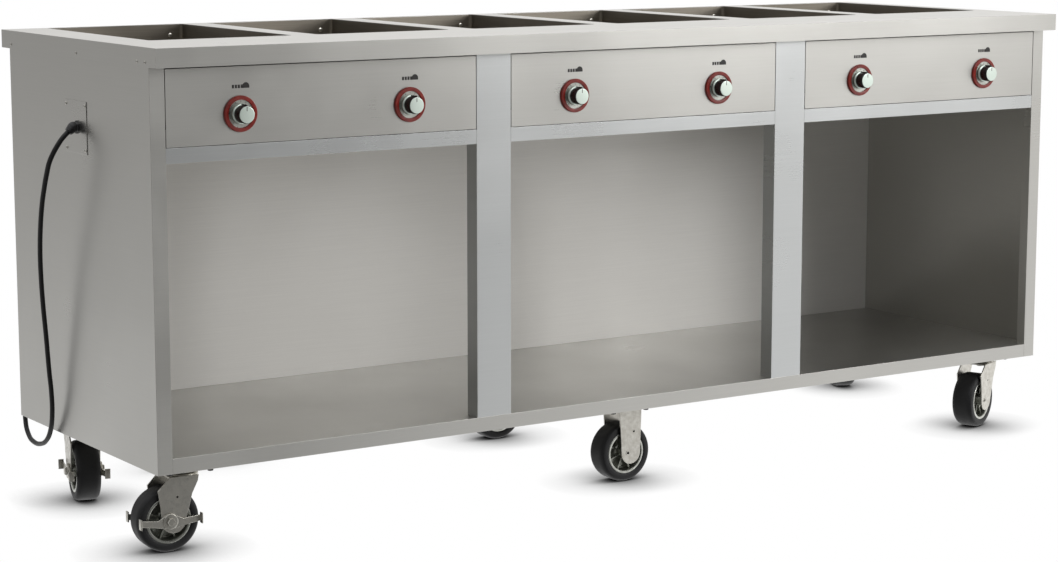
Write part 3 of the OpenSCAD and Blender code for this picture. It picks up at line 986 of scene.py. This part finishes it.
# %% [markdown]
# ## Dials and knobs
# Each heat control has a dark red ring pressed round a pale dial, and a knob
# that turns 270 degrees over it. The ring and the dial stay still. The knob is
# a black phenolic body on a pale skirt, with fine flutes round its grip, a
# raised pointer and a thin turned cap on its face.

# %% Dials
PANEL_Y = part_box("control_panel_left")[0].y * 1000
KNOBS = {}
for number in range(1, 7):
    low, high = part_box(f"knob_{number}")
    KNOBS[number] = ((low.x + high.x) * 500, PANEL_Y, 0)
bezel_low, bezel_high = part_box("knob_bezels")
KNOB_Z = (bezel_low.z + bezel_high.z) * 500
RING_R = (bezel_high.z - bezel_low.z) * 500
dial_places = [(x, y, KNOB_Z) for x, y, _ in KNOBS.values()]

ring_section = rounded([(26.5, 0.1), (26.5, 4.2), (RING_R, 4.2), (RING_R, 0.1)], 1.4)
ring_section = [(r, h + (0.8 if h > 3 and 27 < r < RING_R - 1 else 0)) for r, h in ring_section]
rings = repeat(
    "dial_rings", [(lathe(ring_section, 72, closed=True), TO_FRONT, ring_red)], dial_places, ring_red
)
settle(rings, "knob_bezels")
dial_section = [(6, 0.1), (6, 2.2), (26.6, 2.5), (26.6, 0.1)]
dials = repeat(
    "dial_faces", [(lathe(dial_section, 64, closed=True), TO_FRONT, rim_metal)], dial_places, rim_metal
)
settle(dials, "knob_bezels")
ticks = repeat(
    "dial_ticks",
    [(bars_round(11, 23.6, (3.2, 0.7, 0.3), dial_black, -45, 270), TO_FRONT @ at(0, 0, 2.55), dial_black)],
    dial_places,
    dial_black,
)
attach(ticks, "cabinet")
print("dials:", len(dial_places), "ring radius", round(RING_R, 1), "mm")

# %% Knobs
SKIRT = [(0, 3.2), (18.6, 3.2), (19.8, 3.8), (20, 5.4), (19.2, 7.2), (17.4, 8.6), (0, 8.8)]
GRIP = [(0, 8), (17.2, 8), (16.9, 12), (16.6, 26), (16.2, 27.4), (15.2, 28), (0, 28)]
CAP = [(0, 27.9), (15.4, 27.9), (15.9, 28.1), (15.9, 28.4), (15.2, 28.6), (0, 28.45)]
for number, (x, y, _) in KNOBS.items():
    face_on = at(x, y, KNOB_Z) @ TO_FRONT
    cap = cap_silver(number, (x / 1000, 0, KNOB_Z / 1000))
    parts = [
        (lathe(rounded(SKIRT, 0.8), 64), face_on, cap),
        (lathe(rounded(GRIP, 0.8), 64), face_on, phenolic),
        (lathe(rounded(CAP, 0.2, 2), 64), face_on, cap),
        (bars_round(36, 16.7, (1.0, 1.1, 15), phenolic), face_on @ at(0, 0, 18), phenolic),
        (block((-1.4, 14.5, 6), (1.4, 19.2, 27.5), 0.6), face_on, phenolic),
        (block((-0.8, 7, 28.2), (0.8, 15.2, 28.75), 0.2), face_on, dial_black),
        (lathe([(0, -11), (3, -11), (3, 4), (0, 4)], 24), face_on, zinc),
    ]
    settle(assemble(f"heat_knob_{number}", parts), f"knob_{number}")
print("knobs:", len(KNOBS))

# %% [markdown]
# Above each knob the panel carries a small dark mark. It is made generic here:
# four short bars beside a half disc, like a pan under its lid, and as thin as
# a printed film. The bars come from the second tree, from one bar and a list
# of places.

# %% Marks on the panels
MARK_UP = 55
mark_places = [(x, PANEL_Y, KNOB_Z + MARK_UP) for x, _, _ in dial_places]
bar_places = [(x - 14.5 + 6.2 * k, y, z - 3) for x, y, z in mark_places for k in range(4)]
lines = repeat(
    "panel_mark_bars",
    [(block((-2.4, -0.15, -3.4), (2.4, 0.05, 3.4), 0.06), HERE, mark_ink)],
    bar_places,
    mark_ink,
)
attach(lines, "cabinet")
lid = arc((0, -3), 7.4, 0, 180, 20) + [(-7.4, -6.4), (7.4, -6.4)]
lids = repeat(
    "panel_mark_lids",
    [(plate([lid], 0.2, 0.05), at(12.6, -0.05, 0) @ TO_FRONT, mark_ink)],
    mark_places,
    mark_ink,
)
attach(lids, "cabinet")
print("marks:", len(mark_places))

# %% [markdown]
# ## Screws and bolts
# A hexagon head is a six-sided turned shape with its corners cut back. The
# pan-head screws have a cross recess, whose shade is painted as a dark cross of
# two bars on the head. Bolts that hold the casters are black, and the small
# screws are bright.

# %% Screws and bolts
HEX = [(0, 0), (6.5, 0), (6.5, 4.6), (5.6, 5.9), (0, 6)]


def pan_head(radius, height):
    """A domed screw head standing on Z = 0."""
    dome = [
        (0, 0), (radius, 0), (radius, height * 0.35), (radius * 0.8, height * 0.8),
        (radius * 0.4, height), (0, height),
    ]  # fmt: skip
    return lathe(rounded(dome, height * 0.3, 2), 24)


def cross_recess_shade(radius, height):
    """Painted shade of a screw head's cross recess, as two thin dark bars."""
    return [
        block((-radius * a, -radius * b, height - 0.2), (radius * a, radius * b, height + 0.05), 0.08)
        for a, b in ((0.6, 0.12), (0.12, 0.6))
    ]


# Black oxide for the caster bolts; the same black is painted shade in the screws' cross recesses and the hollow
# pins' bores.
black_bolt_and_recess_shade = moulded("black_oxide_and_recess_shade", "#2A2A2B", "#151516", 0.4, 5, 0.8, 0.02, IOR=1.5)
# The corners aren't quite alike, because the casters were bolted on by hand
CENTRES = {
    "front_left": (-1060, -270), "front_right": (1044, -260),
    "rear_left": (-1053, 238), "rear_right": (1052, 240),
}  # fmt: skip
caster_centres = list(CENTRES.values())
MIDDLE_X = -18
PLATE_X, PLATE_Y = 57, 51  # half the size of a mounting plate
BOLT_X, BOLT_Y = 43, 36.5
rigid_low, rigid_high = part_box("rigid_forks")
middle_centres = [
    (MIDDLE_X, rigid_low.y * 1000 + PLATE_Y),
    (MIDDLE_X, rigid_high.y * 1000 - PLATE_Y),
]
PLATE_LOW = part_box("caster_plates")[1].z * 1000 - 4
bolt_places = [
    (cx + sx * BOLT_X, cy + sy * BOLT_Y, PLATE_LOW)
    for cx, cy in caster_centres + middle_centres
    for sx in (-1, 1)
    for sy in (-1, 1)
]
HEAD_DOWN = Matrix.Rotation(math.pi, 4, "X")
washer = lathe([(0, 0), (7.6, 0), (7.8, 0.5), (7.6, 1), (0, 1)], 24)
hex_bolt = [(lathe(HEX, 6), HEAD_DOWN, black_bolt_and_recess_shade), (washer, HEAD_DOWN, black_bolt_and_recess_shade)]
bolts = repeat("caster_bolts", hex_bolt, bolt_places, black_bolt_and_recess_shade)
settle(bolts, "screws_and_bolts")

GLAND = (-1143.2, -2, 804)
inlet_low, inlet_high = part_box("inlet_plate")
inlet_x = inlet_low.x * 1000
inlet_mid = ((inlet_low.y + inlet_high.y) * 500, (inlet_low.z + inlet_high.z) * 500)
LIP_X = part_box("counter_top")[0].x * 1000
groups = {
    "inlet_screws": (
        3.5, 2, [(inlet_x, inlet_mid[0] + y, inlet_mid[1] + z) for y in (-45, 45) for z in (-44, 44)]
    ),  # fmt: skip
    "counter_edge_screws": (3, 1.5, [(LIP_X, y, 950) for y in (-327, -292, -10, 323)]),
}
for name, (radius, height, places) in groups.items():
    heads = repeat(name, [(pan_head(radius, height), TO_LEFT, zinc)], places, zinc)
    settle(heads, "screws_and_bolts")
    # The dark cross of two bars is painted shade in each screw's cross recess.
    recess_shade_bars = [(shade_bar, TO_LEFT, black_bolt_and_recess_shade) for shade_bar in cross_recess_shade(radius, height)]
    painted_recesses = repeat(name + "_slots", recess_shade_bars, places, black_bolt_and_recess_shade)
    attach(painted_recesses, "cabinet")
clip_places = []
for number in range(1, 7):
    low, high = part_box(f"well_tub_{number}")
    clip_places.append(((low.x + high.x) * 500 + 128, high.y * 1000 - TUB_WALL, 954))
clips = repeat("well_clips", [(pan_head(5, 2.5), TO_FRONT, zinc)], clip_places, zinc)
settle(clips, "screws_and_bolts")
print("bolts:", len(bolt_places), "clips:", len(clip_places))

# %% [markdown]
# ## Casters
# A caster is a plate, a swivel race, a fork and a wheel. The corner casters
# swivel and the middle pair doesn't. Each fork leg is a pressed plate with a
# big round end, so it is drawn as an outline with a hole and given its
# thickness. The wheel has a soft black tyre on a cast core with a bright
# turned rim, a sunken web with ribs, and a hub.

# %% Caster sizes and places
HEADINGS = {"front_left": -5, "front_right": 22, "rear_left": 77, "rear_right": -114}
TRAIL = 38
tyre_low, tyre_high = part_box("tyre_front_middle")
WHEEL_R = (tyre_high.z - tyre_low.z) * 500
TYRE_HALF = (tyre_high.y - tyre_low.y) * 500
TREAD_R = 46
FORK_T = 3
FORK_IN = 28.5
FORK_OUT = FORK_IN + FORK_T
CROWN_Z = 146
WEB_HALF = TYRE_HALF - 1.5

pivots = {}
for (corner, heading), (cx, cy) in zip(HEADINGS.items(), caster_centres):
    pivots[corner] = at(cx, cy, 0) @ Matrix.Rotation(math.radians(heading), 4, "Z")
hubs = {corner: pivot @ at(-TRAIL, 0, WHEEL_R) for corner, pivot in pivots.items()}
hubs["front_middle"] = at(*middle_centres[0], WHEEL_R)
hubs["rear_middle"] = at(*middle_centres[1], WHEEL_R)
print("wheel radius", round(WHEEL_R, 1), "tyre width", round(2 * TYRE_HALF, 1), "mm")

# %% Tyres and cores
TYRE = [
    (TREAD_R, -WEB_HALF), (TREAD_R + 1.5, -TYRE_HALF + 0.6), (TREAD_R + 4, -TYRE_HALF),
    (WHEEL_R - 6.5, -TYRE_HALF), (WHEEL_R - 4.4, -TYRE_HALF + 0.9), (WHEEL_R - 2.4, -TYRE_HALF + 3),
    (WHEEL_R - 0.8, -TYRE_HALF + 6.6), (WHEEL_R - 0.2, -TYRE_HALF + 9.6), (WHEEL_R, -TYRE_HALF + 13),
    (WHEEL_R, TYRE_HALF - 13), (WHEEL_R - 0.2, TYRE_HALF - 9.6), (WHEEL_R - 0.8, TYRE_HALF - 6.6),
    (WHEEL_R - 2.4, TYRE_HALF - 3), (WHEEL_R - 4.4, TYRE_HALF - 0.9), (WHEEL_R - 6.5, TYRE_HALF),
    (TREAD_R + 4, TYRE_HALF),
    (TREAD_R + 1.5, TYRE_HALF - 0.6), (TREAD_R, WEB_HALF),
]  # fmt: skip
HUB_HALF = FORK_IN - 0.3


def web(side):
    """One side of a core's section, from the bore to the rim."""
    s = side
    return [
        (5.05, s * HUB_HALF), (10.5, s * HUB_HALF), (12, s * (HUB_HALF - 1.2)), (13.5, s * 7),
        (17, s * 4), (33, s * 4), (37.5, s * 7), (39.2, s * (WEB_HALF - 3)), (40.5, s * WEB_HALF),
        (TREAD_R - 0.8, s * WEB_HALF), (TREAD_R - 0.2, s * (WEB_HALF - 0.8)),
    ]  # fmt: skip


for where, hub in hubs.items():
    about_axle = hub @ TO_BACK
    tyre = assemble(f"caster_tyre_{where}", [(lathe(TYRE, 96, closed=True), about_axle, tyre_rubber)], 50)
    settle(tyre, f"tyre_{where}")
    core = lathe(rounded(web(-1), 0.8, 2) + rounded(web(1), 0.8, 2)[::-1], 96, closed=True)
    rim = [
        (39.9, WEB_HALF - 1.4), (40.8, WEB_HALF + 0.5),
        (TREAD_R - 0.6, WEB_HALF + 0.5), (TREAD_R + 0.3, WEB_HALF - 1),
    ]  # fmt: skip
    parts = [(core, about_axle, alloy)]
    for turn in (HERE, Matrix.Rotation(math.pi, 4, "X")):
        parts.append((lathe(rounded(rim, 0.5, 2), 96, closed=True), about_axle @ turn, rim_metal))
    parts.append((bars_round(8, 25.5, (27, 3, 30), alloy, 22.5), about_axle, alloy))
    settle(assemble(f"caster_core_{where}", parts), f"wheel_core_{where}")
print("wheels:", len(hubs))

# %% Forks
BOSS_R = 24
BOSS_SHIFT = 8


def leg(axle_x, outline):
    """A fork leg's outline, from its top round the boss, with its small hole and axle hole."""
    boss = arc((axle_x + BOSS_SHIFT, WHEEL_R), BOSS_R, -180, 0, 24)
    axle_hole = circle((axle_x, WHEEL_R), 5.2)
    small_hole = circle((axle_x + 16, WHEEL_R + 46), 2.6, 16)
    return [[*outline[0], *boss, *outline[1]], axle_hole, small_hole]


def legs(axle_x, outline, place):
    """Both legs of a fork."""
    sides = [place @ at(0, s * (FORK_IN + FORK_T / 2), 0) @ TO_FRONT_UP for s in (-1, 1)]
    return [(plate(leg(axle_x, outline), FORK_T, 0.5), side, zinc) for side in sides]


def mounting_plate(cx, cy):
    """The plate that bolts a caster to its channel."""
    low = (cx - PLATE_X, cy - PLATE_Y, PLATE_LOW)
    return block(low, (cx + PLATE_X, cy + PLATE_Y, PLATE_LOW + 3.9), 1.2), HERE, zinc


# Stands a flat outline up so that its own Y points up
TO_FRONT_UP = Matrix.Rotation(math.radians(90), 4, "X")
SWIVEL_LEG = (
    [(-37, CROWN_Z + 3), (-61, 124), (-56, 90)],
    [(0, 84), (8, 114), (20, 138), (22, CROWN_Z + 3)],
)
RIGID_LEG = ([(-22, CROWN_Z + 15), (-21, CROWN_Z), (-17, 90)], [(33, 90), (35, CROWN_Z), (35, CROWN_Z + 15)])
race = [
    (6.1, CROWN_Z), (6.1, CROWN_Z + 7.2), (27, CROWN_Z + 7.2),
    (30.6, CROWN_Z + 5.5), (31, CROWN_Z + 3), (31, CROWN_Z),
]  # fmt: skip
for corner, pivot in pivots.items():
    parts = legs(-TRAIL, SWIVEL_LEG, pivot)
    crown = block((-37, -FORK_OUT + 0.2, CROWN_Z), (22, FORK_OUT - 0.2, CROWN_Z + 3), 0.8)
    parts.append((crown, pivot, zinc))
    parts.append((lathe(rounded(race, 1.2), 64, closed=True), pivot, zinc))
    settle(assemble(f"caster_fork_{corner}", parts), f"swivel_fork_{corner}")
parts = []
for cx, cy in middle_centres:
    parts += legs(0, RIGID_LEG, at(cx, cy, 0))
    parts.append(mounting_plate(cx, cy))
    for side in (-1, 1):
        near, far = sorted((cy + side * FORK_IN, cy + side * (FORK_IN - FORK_T)))
        flange = block((cx - 22, near, PLATE_LOW - 3), (cx + 35, far, PLATE_LOW + 1), 0.8)
        parts.append((flange, HERE, zinc))
settle(assemble("caster_forks_middle", parts), "rigid_forks")

parts = []
upper_race = [(0, 153.6), (26, 153.6), (31, 154.8), (33.6, 157), (34, 161.2), (0, 161.2)]
kingpin = [(0, 138.7), (8.4, 138.7), (9.8, 140), (9.8, 145.4), (6, 145.6), (6, 155), (0, 155)]
for cx, cy in caster_centres:
    parts.append(mounting_plate(cx, cy))
    parts.append((lathe(rounded(upper_race, 1.5), 64), at(cx, cy, 0), zinc))
    parts.append((lathe(kingpin, 40), at(cx, cy, 0), zinc))
settle(assemble("caster_plates_and_races", parts), "caster_plates")
print("forks:", len(pivots), "+ 2 rigid")

# %% [markdown]
# The axles are bolts with a hexagon head at one end and a nut at the other on
# the braked casters, and flush hollow pins on the rest. Each brake is a thin
# rocking bar on both sides of the wheel, whose turned-out toes are pressed
# down with a foot.

# %% Axles and brakes


def axle_parts(place, reach, braked):
    """An axle about its own place, along Y."""
    turned = place @ TO_BACK
    if not braked:
        section = [(3, -reach + 2.4), (3.2, -reach), (5, -reach), (5, reach), (3.2, reach), (3, reach - 2.4)]
        # A dark disc inside the pin's hollow end is painted shade in its bore.
        bore_shade = [(0, -reach + 3.6), (3.1, -reach + 3.6), (3.1, -reach + 2.5), (0, -reach + 2.5)]
        return [
            (lathe([(0, -reach + 4), *section, (0, reach - 4)], 32), turned, zinc),
            (lathe(bore_shade, 24), turned, black_bolt_and_recess_shade),
        ]
    parts = [(lathe([(0, -reach), (5, -reach), (5, reach), (0, reach)], 32), turned, zinc)]
    for flip in (HERE, Matrix.Rotation(math.pi, 4, "X")):
        head = [(0, reach), (8.5, reach), (8.5, reach + 3.6), (7.4, reach + 4.9), (0, reach + 5)]
        parts.append((lathe(head, 6), turned @ flip, zinc))
    return parts


BRAKED = ("front_left", "rear_left")
LEVER_Y = FORK_OUT + 0.3
BOLT_REACH, PIN_REACH = FORK_OUT + 5.6, FORK_OUT + 0.8
for corner in HEADINGS:
    braked = corner in BRAKED
    parts = axle_parts(hubs[corner], BOLT_REACH if braked else PIN_REACH, braked)
    settle(assemble(f"caster_axle_{corner}", parts, 30), f"axle_{corner}")
both = [
    part
    for where in ("front_middle", "rear_middle")
    for part in axle_parts(hubs[where], PIN_REACH, False)
]
settle(assemble("caster_axles_middle", both, 30), "rigid_axles")

LEVER_REACH = 63
arm = [
    (-LEVER_REACH, 7), (-LEVER_REACH, -4), (-34, -8), (-15, -12), (0, -14), (15, -12), (34, -8),
    (LEVER_REACH, -4), (LEVER_REACH, 7), (26, 3), (14, 9), (6, 14.6), (-6, 14.6), (-14, 9), (-26, 3),
]  # fmt: skip
for corner in BRAKED:
    parts = []
    for side in (-1, 1):
        y = side * (LEVER_Y + 1.5)
        bar = plate([arm, circle((0, 0), 5.2)], 3, 0.5)
        parts.append((bar, hubs[corner] @ at(0, y, 0) @ TO_FRONT_UP, zinc))
        boss = rounded([(5.2, 0), (15, 0), (15, 5), (9.4, 5), (5.2, 5)], 1.0)
        flip = TO_FRONT if side < 0 else TO_BACK
        parts.append((lathe(boss, 40, closed=True), hubs[corner] @ at(0, side * LEVER_Y, 0) @ flip, zinc))
        for end_of in (-1, 1):
            x = end_of * (LEVER_REACH - 1)
            far, near = sorted((side * LEVER_Y, side * (LEVER_Y + 11.4)))
            parts.append((block((x - 1.4, far, -9), (x + 1.4, near, 12), 0.7), hubs[corner], zinc))
    settle(assemble(f"caster_brake_{corner}", parts), f"brake_lever_{corner}")
print("axles and brakes placed")

# %% [markdown]
# ## The cord gland
# A gland grips the cord where it leaves the panel: a hexagon nut, a dome, and
# a flexible nose with ribs that turns the cord down and lets it bend without
# kinking.

# %% Cord gland
GLAND_NUT = [(0, 0), (13, 0), (13, 3.6), (11.6, 4.9), (0, 5)]
gland_at = at(inlet_x, GLAND[1], GLAND[2])
ball = [(11 * math.cos(math.radians(a)), 11 * math.sin(math.radians(a))) for a in range(-90, 91, 10)]
ball = [(0 if abs(r) < 0.01 else r, h) for r, h in ball]
nose = [(0, 2), (10.2, 2), (10.2, 5)]
for k in range(3):
    z, r = 5 + 3 * k, 10 - 0.75 * k
    nose += [(r, z), (r, z + 1.7), (r - 1, z + 2), (r - 1, z + 2.8)]
nose += [(7.6, 14), (5.2, 14), (0, 13)]
ball_at = at(inlet_x - 8.8, GLAND[1], GLAND[2])
parts = [
    (lathe(GLAND_NUT, 6), gland_at @ TO_LEFT, nylon),
    (lathe(ball, 40), ball_at, nylon),
    (lathe(nose, 40), ball_at @ Matrix.Rotation(math.radians(-90 - 40), 4, "Y"), nylon),
    (lathe([(0, -14), (7.9, -14), (7.9, 1), (0, 1)], 32), gland_at @ TO_LEFT, nylon),
]
settle(assemble("cord_gland_body", parts, 30), "cord_gland")
print("gland at", GLAND)

# %% [markdown]
# ## Parts that stay as they are
# The belly pan, the hairpin elements and the switches sit out of sight, and
# their shapes in the frame are already right. They only need a finish.

# %% Finishes for the hidden parts
KEPT = {"belly_pan": lightened_lining, "heating_elements": sheath, "heat_switches": cream}
for node, material in KEPT.items():
    mesh = cad_nodes[node].data
    mesh.materials.clear()
    mesh.materials.append(material)
left_over = [
    n for n, o in cad_nodes.items() if not o.hide_render and n not in KEPT
]
print("parts without a finish:", left_over)

# %% [markdown]
# ## Light and floor
# Steel shows what is round it more than its own colour, so the surroundings
# are the light: a pale studio that is dark straight in front of the counter
# and bright to its right, behind it and overhead. The colour of the world goes
# round with the compass direction, and mixes to white overhead. What the
# camera sees directly is plain white.

# %% World
world = bpy.data.worlds.new("Studio")
bpy.context.scene.world = world
world.use_nodes = True
tree = world.node_tree
tree.nodes.clear()
direction = add_node(tree, "ShaderNodeTexCoord").outputs["Generated"]
split = add_node(tree, "ShaderNodeSeparateXYZ", {"Vector": direction})
front_y = add_node(tree, "ShaderNodeMath", {0: split.outputs["Y"], 1: -1.0}, operation="MULTIPLY").outputs[0]
compass = add_node(
    tree, "ShaderNodeMath", {0: split.outputs["X"], 1: front_y}, operation="ARCTAN2"
).outputs[0]
round_about = span(tree, compass, 0.0, 1.0, -math.pi, math.pi)
ring_light = add_node(tree, "ShaderNodeValToRGB", {"Fac": round_about})
# Degrees from straight in front, turning to the right, and the brightness there
STUDIO = [
    (-180, 0.4), (-150, 0.31), (-120, 0.26), (-90, 0.2), (-60, 0.13), (-25, 0.07), (10, 0.03), (22, 0.03), (27, 0.1),
    (31, 0.34), (37, 0.62), (46, 0.7), (70, 0.75), (120, 0.85), (155, 0.7), (180, 0.4),
]  # fmt: skip
ramp = ring_light.color_ramp
ramp.interpolation = "EASE"
while len(ramp.elements) < len(STUDIO):
    ramp.elements.new(0.5)
for element, (degrees, light) in zip(ramp.elements, STUDIO):
    element.position = (degrees + 180) / 360
    element.color = (light, light * 0.985, light * 0.965, 1)
overhead = span(tree, split.outputs["Z"], 0.0, 1.0, 0.25, 0.75)
below = span(tree, split.outputs["Z"], 0.0, 1.0, -0.07, -0.24)
with_top = blend_colours(tree, overhead, ring_light.outputs["Color"], "#F4F5F7")
lit = span(tree, ring_light.outputs["Color"], 0.0, 1.0, 0.0, 0.5)
floor_light = blend_colours(tree, lit, "#4C4C4A", "#FFFFFF")
with_floor = blend_colours(tree, below, with_top, floor_light)
studio = add_node(tree, "ShaderNodeBackground", {"Color": with_floor, "Strength": 1.35})
white = add_node(tree, "ShaderNodeBackground", {"Color": (1, 1, 1, 1), "Strength": 1.0})
seen = add_node(tree, "ShaderNodeLightPath").outputs["Is Camera Ray"]
shown = add_node(
    tree,
    "ShaderNodeMixShader",
    {0: seen, 1: studio.outputs["Background"], 2: white.outputs["Background"]},
)
add_node(tree, "ShaderNodeOutputWorld", {"Surface": shown.outputs["Shader"]})
print("studio directions:", len(STUDIO))

# %% [markdown]
# The floor is a white sweep. It only has to show the soft shadow where each
# wheel touches it, so it shines white and is darkened by ambient occlusion,
# which measures how much of the sky near each point is blocked.

# %% Floor
floor_mesh = bpy.data.meshes.new("floor")
FLOOR_HALF = 14
floor_mesh.from_pydata(
    [(x * FLOOR_HALF, y * FLOOR_HALF, -0.0004) for x, y in ((-1, -1), (1, -1), (1, 1), (-1, 1))],
    [],
    [(0, 1, 2, 3)],
)
floor = bpy.data.objects.new("floor", floor_mesh)
bpy.context.scene.collection.objects.link(floor)
floor_paint, tree, place = new_finish("white_sweep")
near_sky = add_node(tree, "ShaderNodeAmbientOcclusion", {"Distance": 0.13}, samples=24).outputs["AO"]
shade = add_node(
    tree, "ShaderNodeMath", {0: near_sky, 1: 2.2}, operation="POWER"
).outputs[0]
shadow = blend_colours(tree, shade, "#000000", "#FFFFFF")
glow = add_node(tree, "ShaderNodeEmission", {"Color": shadow, "Strength": 1.0})
add_node(tree, "ShaderNodeOutputMaterial", {"Surface": glow.outputs["Emission"]})
floor_mesh.materials.append(floor_paint)
floor.visible_glossy = False
floor.visible_diffuse = False
floor.visible_shadow = False
floor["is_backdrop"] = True
print("floor:", 2 * FLOOR_HALF, "m across")

# %% [markdown]
# Two large soft lamps finish the light. One hangs over the counter, so that
# the wells are lit from above. The other stands at the front right and shines
# into the bays, whose soft mill finish spreads it. Their backs are also painted
# near-white, so painted light adds to the lamp and makes them brighter than the
# brushed panels and posts in front of them.

# %% Lamps


def soft_lamp(name, place, aim, size, power):
    """A square area lamp that points at a place."""
    data = bpy.data.lights.new(name, "AREA")
    data.size = size
    data.energy = power
    lamp = bpy.data.objects.new(name, data)
    bpy.context.scene.collection.objects.link(lamp)
    lamp.location = place
    lamp.rotation_euler = (Vector(aim) - Vector(place)).to_track_quat("-Z", "Y").to_euler()
    return lamp


soft_lamp("Overhead softbox", (0.3, -0.6, 3.2), (0.2, 0.1, 0.9), 2.4, 60)
soft_lamp("Front right softbox", (2.6, -3.4, 2.0), (0.0, 0.2, 0.4), 1.6, 60)
print("lamps placed")

# %% [markdown]
# ## Last measurements
# The finished pieces have to fill the same box as the frame, so both boxes are
# printed side by side.

# %% Sizes and the end
finished_box = [list(corner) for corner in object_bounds()]
for label, box in (("frame", frame_box), ("pieces", finished_box)):
    print(label, [[round(c, 4) for c in corner] for corner in box])
